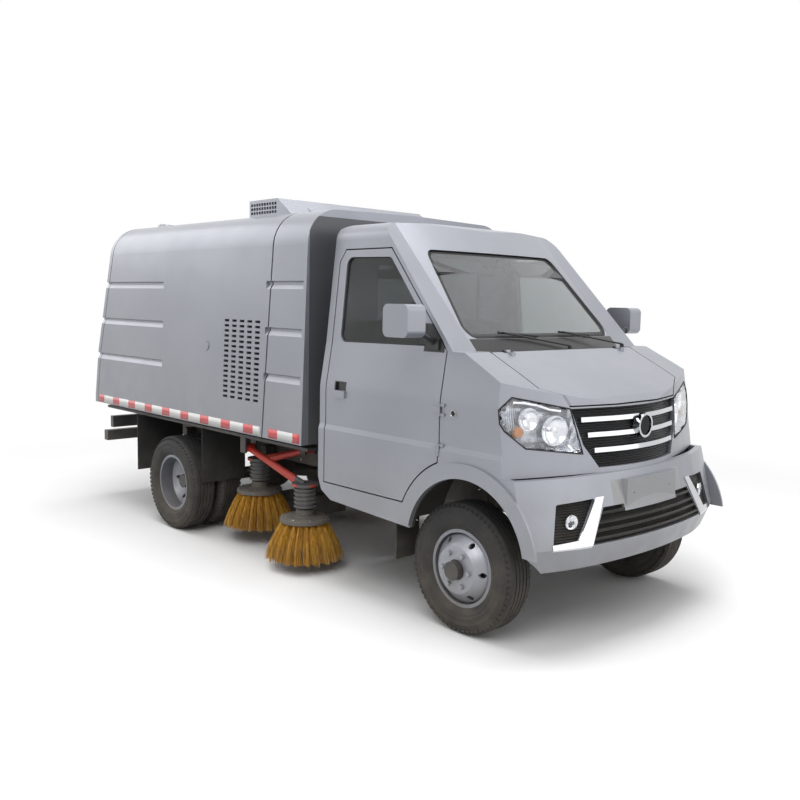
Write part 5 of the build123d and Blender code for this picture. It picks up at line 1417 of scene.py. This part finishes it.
class SWEEPER_OT_cab_fittings(bpy.types.Operator):
    """Mirrors, sun visors, dash vents, dials, gear lever and the ribbed plates on the sills"""
    bl_idname = "sweeper.cab_fittings"
    bl_label = "Cab fittings"

    def execute(self, context):
        self.mirror_glass()
        self.dash()
        self.overhead()
        self.kick_plates()
        return {"FINISHED"}

    def mirror_glass(self):
        """A mirror pane on the back of each door mirror's head."""
        low_z, high_z = MIRROR_LEVELS
        for side, sign in SIDES:
            door, shape = "door_" + side, Shape()
            y = sign * (max(abs(corner.y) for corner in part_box(door)) - MIRROR_INSET)
            head = surface_of(door)((BEHIND_MIRROR, y, (low_z + high_z) / 2), AHEAD)[0].x
            back, front = (head - gap for gap in MIRROR_PANE)
            shape.box((back, y - MIRROR_HALF, low_z), (front, y + MIRROR_HALF, high_z), bevel=PANE_BEVEL)
            fit(shape, "mirror_glass_" + side, "mirror", door, "bright_trim")

    def dash(self):
        """Vents, an instrument binnacle with two plain dials, and a gear lever with its boot."""
        face = surface_of("dashboard")
        clear_of_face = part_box("dashboard")[1].x - PAST_WHEEL
        black, dials = Shape(), Shape()

        def on_dash(y, z):
            """A place on the dashboard's face, X away from it; rays start past the steering wheel."""
            spot, normal = face((clear_of_face, y, z), AHEAD)
            return shifted(spot) @ normal.to_track_quat("X", "Z").to_matrix().to_4x4()

        wide, tall = VENT_HALF
        blade_wide, blade_tall = BLADE_HALF
        for y in VENTS:
            place = on_dash(y, VENT_LEVEL)
            black.box((0.0005, -wide, -tall), (0.006, wide, tall), place, 0.002)
            for blade in range(VENT_BLADES):
                z = -0.018 + BLADE_PITCH * blade
                black.box((0.0065, -blade_wide, z - blade_tall), (0.010, blade_wide, z + blade_tall), place,
                          0.0006)
        place = on_dash(*BINNACLE)
        black.box((0.0005, -0.125, -0.040), (0.008, 0.125, 0.045), place, 0.003)
        for y in DIALS:
            dials.lathe([(0.0, 0.0), (0.0, 0.036), (0.0025, 0.036), (0.0035, 0.033), (0.0022, 0.031),
                         (0.0022, 0.0)], 32, place @ shifted((0.0085, y, 0.0)) @ turned(-90, "Z"))
        black.lathe([(0.0, 0.0), (0.0, 0.052), (0.004, 0.050), (0.014, 0.040), (0.020, 0.043), (0.030, 0.030),
                     (0.036, 0.033), (0.050, 0.012), (0.185, 0.0075), (0.190, 0.020), (0.205, 0.025),
                     (0.225, 0.021), (0.232, 0.0)], 28, shifted(LEVER_FOOT) @ turned(90, "X"))
        fit(black, "dash_fittings", "plastic", "truck", "interior_grey", sharp=CREASE)
        fit(dials, "dash_dials", "mirror", "truck", "bright_trim", sharp=CREASE)

    def overhead(self):
        """Sun visors under the roof's front edge and the inside mirror on its stalk."""
        boards, glass = Shape(), Shape()
        for y in VISORS:
            boards.box((0.0, -0.20, -0.007), (0.135, 0.20, 0.007),
                       shifted((1.100, y, 1.800)) @ turned(VISOR_TILT, "Y"), 0.006)
        stalk = [Vector((1.145, 0.0, 1.812)), Vector((1.130, 0.0, 1.780)), Vector((1.110, 0.0, 1.755))]
        tube_along(boards, stalk, 0.006, closed=False)
        place = shifted((1.098, 0.0, 1.742)) @ turned(MIRROR_TILT, "Y")
        boards.box((-0.004, -0.105, -0.030), (0.018, 0.105, 0.030), place, 0.007)
        glass.box((-0.0060, -0.100, -0.025), (-0.0045, 0.100, 0.025), place, 0.0005)
        fit(boards, "cab_overhead", "interior", "truck", "interior_grey", sharp=CREASE)
        fit(glass, "inside_mirror_glass", "mirror", "truck", "bright_trim", sharp=CREASE)

    def kick_plates(self):
        """Ribbed plates that close the step between the cab floor and each sill."""
        plates = Shape()
        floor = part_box("cab_interior")
        back, front, foot = KICK_PLATE
        rib_back, rib_front, levels = KICK_RIBS
        for side in (-1, 1):
            face = side * (floor[1].y - 0.0015)
            inner, outer = face - side * 0.0055, face + side * 0.0009
            plates.box((back, min(face, inner), foot), (front, max(face, inner), floor[0].z - 0.0005),
                       bevel=0.0008)
            for z in levels:
                plates.box((rib_back, min(face, outer), z - 0.003), (rib_front, max(face, outer), z + 0.003))
        fit(plates, "sill_kick_plates", "interior", "truck", "interior_grey", sharp=CREASE)


# ---------------------------------------------------------------- bolts

class SWEEPER_OT_bolts(bpy.types.Operator):
    """Hexagon bolts on the frame, the flaps, the bumper bars and the rear door"""
    bl_idname = "sweeper.bolts"
    bl_label = "Bolts"

    def execute(self, context):
        self.row("frame_bolts", "truck", "chassis_frame", 1.0, [
            ((x, sign * 1.3, z), (0.0, -sign, 0.0)) for sign in (-1, 1)
            for x in spread(-1.95, 1.90, 0.26) for z in (0.545, 0.615)])
        self.row("flap_bolts", "truck", "mudguards", 0.8, [
            ((x, sign * y, z), way) for sign in (-1, 1)
            for x, way, ys, z in ((-2.4, AHEAD, (0.52, 0.60, 0.72, 0.80), 0.700),
                                  (2.4, BACK, (0.64, 0.76), 0.455))
            for y in ys])
        self.row("bumper_bar_bolts", "truck", "rear_bumper", 1.0, [
            throw for sign in (-1, 1) for y in (0.30, 0.38)
            for throw in (((-2.6, sign * y, 0.600), AHEAD), ((-2.19, sign * y, 0.900), DOWN))])
        self.row("rear_door_bolts", "rear_door", "rear_door", 0.7, [
            ((-2.6, sign * y, 2.02), AHEAD) for sign in (-1, 1) for y in (0.48, 0.56, 0.64)])
        return {"FINISHED"}

    def row(self, name, body, node, scale, throws):
        """Bolts where rays thrown at a node meet it squarely."""
        hit, rows = surface_of(node), []
        for origin, way in throws:
            found = hit(origin, way)
            if found and found[1].dot(Vector(way)) <= -0.9:
                spot, normal = found
                rows.append((spot + normal * 0.0003, normal, UP))
        if not rows:
            raise RuntimeError("no bolt of %s meets its node" % name)
        repeated(name, hex_bolt(scale), rows, "steel", body, "cast_metal")


# ---------------------------------------------------------------- stage

CAMERA_PLACE = (4.3837, -3.7655, 1.5706)
CAMERA_YAW, CAMERA_PITCH, CAMERA_ROLL = 136.760, -6.364, 1.106
CAMERA_LENS, CAMERA_FILM, CAMERA_REACH = 39.665, 36.0, 500.0
LAMPS = (("Key", (4.5, -6.0, 8.0), 6.0, 430.0), ("Fill", (7.5, 3.0, 4.0), 7.0, 130.0),
         ("Top", (0.5, 0.0, 8.0), 6.0, 570.0), ("Back", (-7.0, -3.0, 4.5), 5.0, 110.0))
LAMPS_AIM = (0.0, 0.0, 0.8)
FLOOR_HALF, FLOOR_FADE = 60.0, (3.0, 5.5)
FLOOR_SHADE, FLOOR_TONES = (0.45, 0.45, 0.45, 1), ((0.86, 0.86, 0.86, 1), (0.90, 0.90, 0.90, 1))
SKY_LIGHT = 0.30


class SWEEPER_OT_stage(bpy.types.Operator):
    """Pale floor, soft lamps, white surroundings and the camera"""
    bl_idname = "sweeper.stage"
    bl_label = "Stage"

    def execute(self, context):
        scene = context.scene
        scene.view_settings.view_transform = "Standard"
        self.floor()
        self.world(scene)
        for name, place, size, power in LAMPS:
            lamp = bpy.data.lights.new(name, "AREA")
            lamp.energy, lamp.size = power, size
            holder = linked(name, lamp)
            holder.location = place
            holder.rotation_euler = (Vector(LAMPS_AIM) - Vector(place)).to_track_quat("-Z", "Y").to_euler()
        data = bpy.data.cameras.new("Camera")
        data.lens, data.sensor_width, data.clip_end = CAMERA_LENS, CAMERA_FILM, CAMERA_REACH
        camera = linked("Camera", data)
        yaw, pitch, roll = (math.radians(a) for a in (CAMERA_YAW, CAMERA_PITCH, CAMERA_ROLL))
        ahead = Vector((math.cos(pitch) * math.cos(yaw), math.cos(pitch) * math.sin(yaw), math.sin(pitch)))
        right = ahead.cross(Vector(UP)).normalized()
        up = right.cross(ahead)
        right, up = (right * math.cos(roll) + up * math.sin(roll),
                     up * math.cos(roll) - right * math.sin(roll))
        turn = Matrix((right, up, -ahead)).transposed().to_4x4()
        camera.matrix_world = shifted(CAMERA_PLACE) @ turn
        scene.camera = camera
        return {"FINISHED"}

    def floor(self):
        """A pale floor that fades to white far out, and throws less light up than it shows."""
        material = bpy.data.materials.new("Pale floor")
        corners = [(x * FLOOR_HALF, y * FLOOR_HALF, 0) for x, y in ((-1, -1), (1, -1), (1, 1), (-1, 1))]
        ground = build("floor", corners, [[0, 1, 2, 3]], material)
        material.use_nodes = True
        n = Nodes(material.node_tree)
        shader, output = n.tree.nodes["Principled BSDF"], n.tree.nodes["Material Output"]
        seen = n.seen()
        pale = n.mix(n.noise(3.0, 6.0), *FLOOR_TONES)
        n.feed(n.mix(seen, FLOOR_SHADE, pale), shader.inputs["Base Color"])
        shader.inputs["Roughness"].default_value = 0.9
        glow = n.add("ShaderNodeEmission", {"Color": (1, 1, 1, 1), "Strength": 1.0})
        edge = n.remap(n.vector("LENGTH", n.place()), *FLOOR_FADE, interpolation_type="SMOOTHSTEP")
        blend = n.add("ShaderNodeMixShader", {
            0: n.times(edge, seen), 1: shader.outputs[0], 2: glow.outputs[0]})
        n.feed(blend.outputs[0], output.inputs["Surface"])

    def world(self, scene):
        """White surroundings that light the truck less than they show."""
        scene.world = bpy.data.worlds.new("Studio")
        scene.world.use_nodes = True
        n = Nodes(scene.world.node_tree)
        sky = n.tree.nodes["Background"]
        sky.inputs["Color"].default_value = (1, 1, 1, 1)
        n.feed(n.remap(n.seen(), 0.0, 1.0, SKY_LIGHT, 1.0), sky.inputs["Strength"])


# ---------------------------------------------------------------- panel and start

OPERATORS = [
    SWEEPER_OT_finishes, SWEEPER_OT_tyres, SWEEPER_OT_brushes, SWEEPER_OT_tape, SWEEPER_OT_windows,
    SWEEPER_OT_headlamps, SWEEPER_OT_seats, SWEEPER_OT_cab_fittings, SWEEPER_OT_bolts, SWEEPER_OT_stage]


class SWEEPER_PT_panel(bpy.types.Panel):
    """Lists the sizes, the colours and the pieces"""
    bl_idname = "SWEEPER_PT_panel"
    bl_label = "Street sweeper"
    bl_space_type = "VIEW_3D"
    bl_region_type = "UI"
    bl_category = "Sweeper"

    def draw(self, context):
        column = self.layout.column()
        for store in (context.scene.sweeper_sizes, context.scene.sweeper_colours):
            for name in store.__annotations__:
                column.prop(store, name)
        for operator in OPERATORS:
            column.operator(operator.bl_idname)


CLASSES = [SweeperColours, SweeperSizes, *OPERATORS, SWEEPER_PT_panel]


def register():
    for kind in CLASSES:
        bpy.utils.register_class(kind)
    bpy.types.Scene.sweeper_colours = bpy.props.PointerProperty(type=SweeperColours)
    bpy.types.Scene.sweeper_sizes = bpy.props.PointerProperty(type=SweeperSizes)


def unregister():
    del bpy.types.Scene.sweeper_sizes
    del bpy.types.Scene.sweeper_colours
    for kind in reversed(CLASSES):
        bpy.utils.unregister_class(kind)


def main():
    register()
    for operator in OPERATORS:
        prefix, name = operator.bl_idname.split(".")
        getattr(getattr(bpy.ops, prefix), name)()


if __name__ == "__main__":
    main()
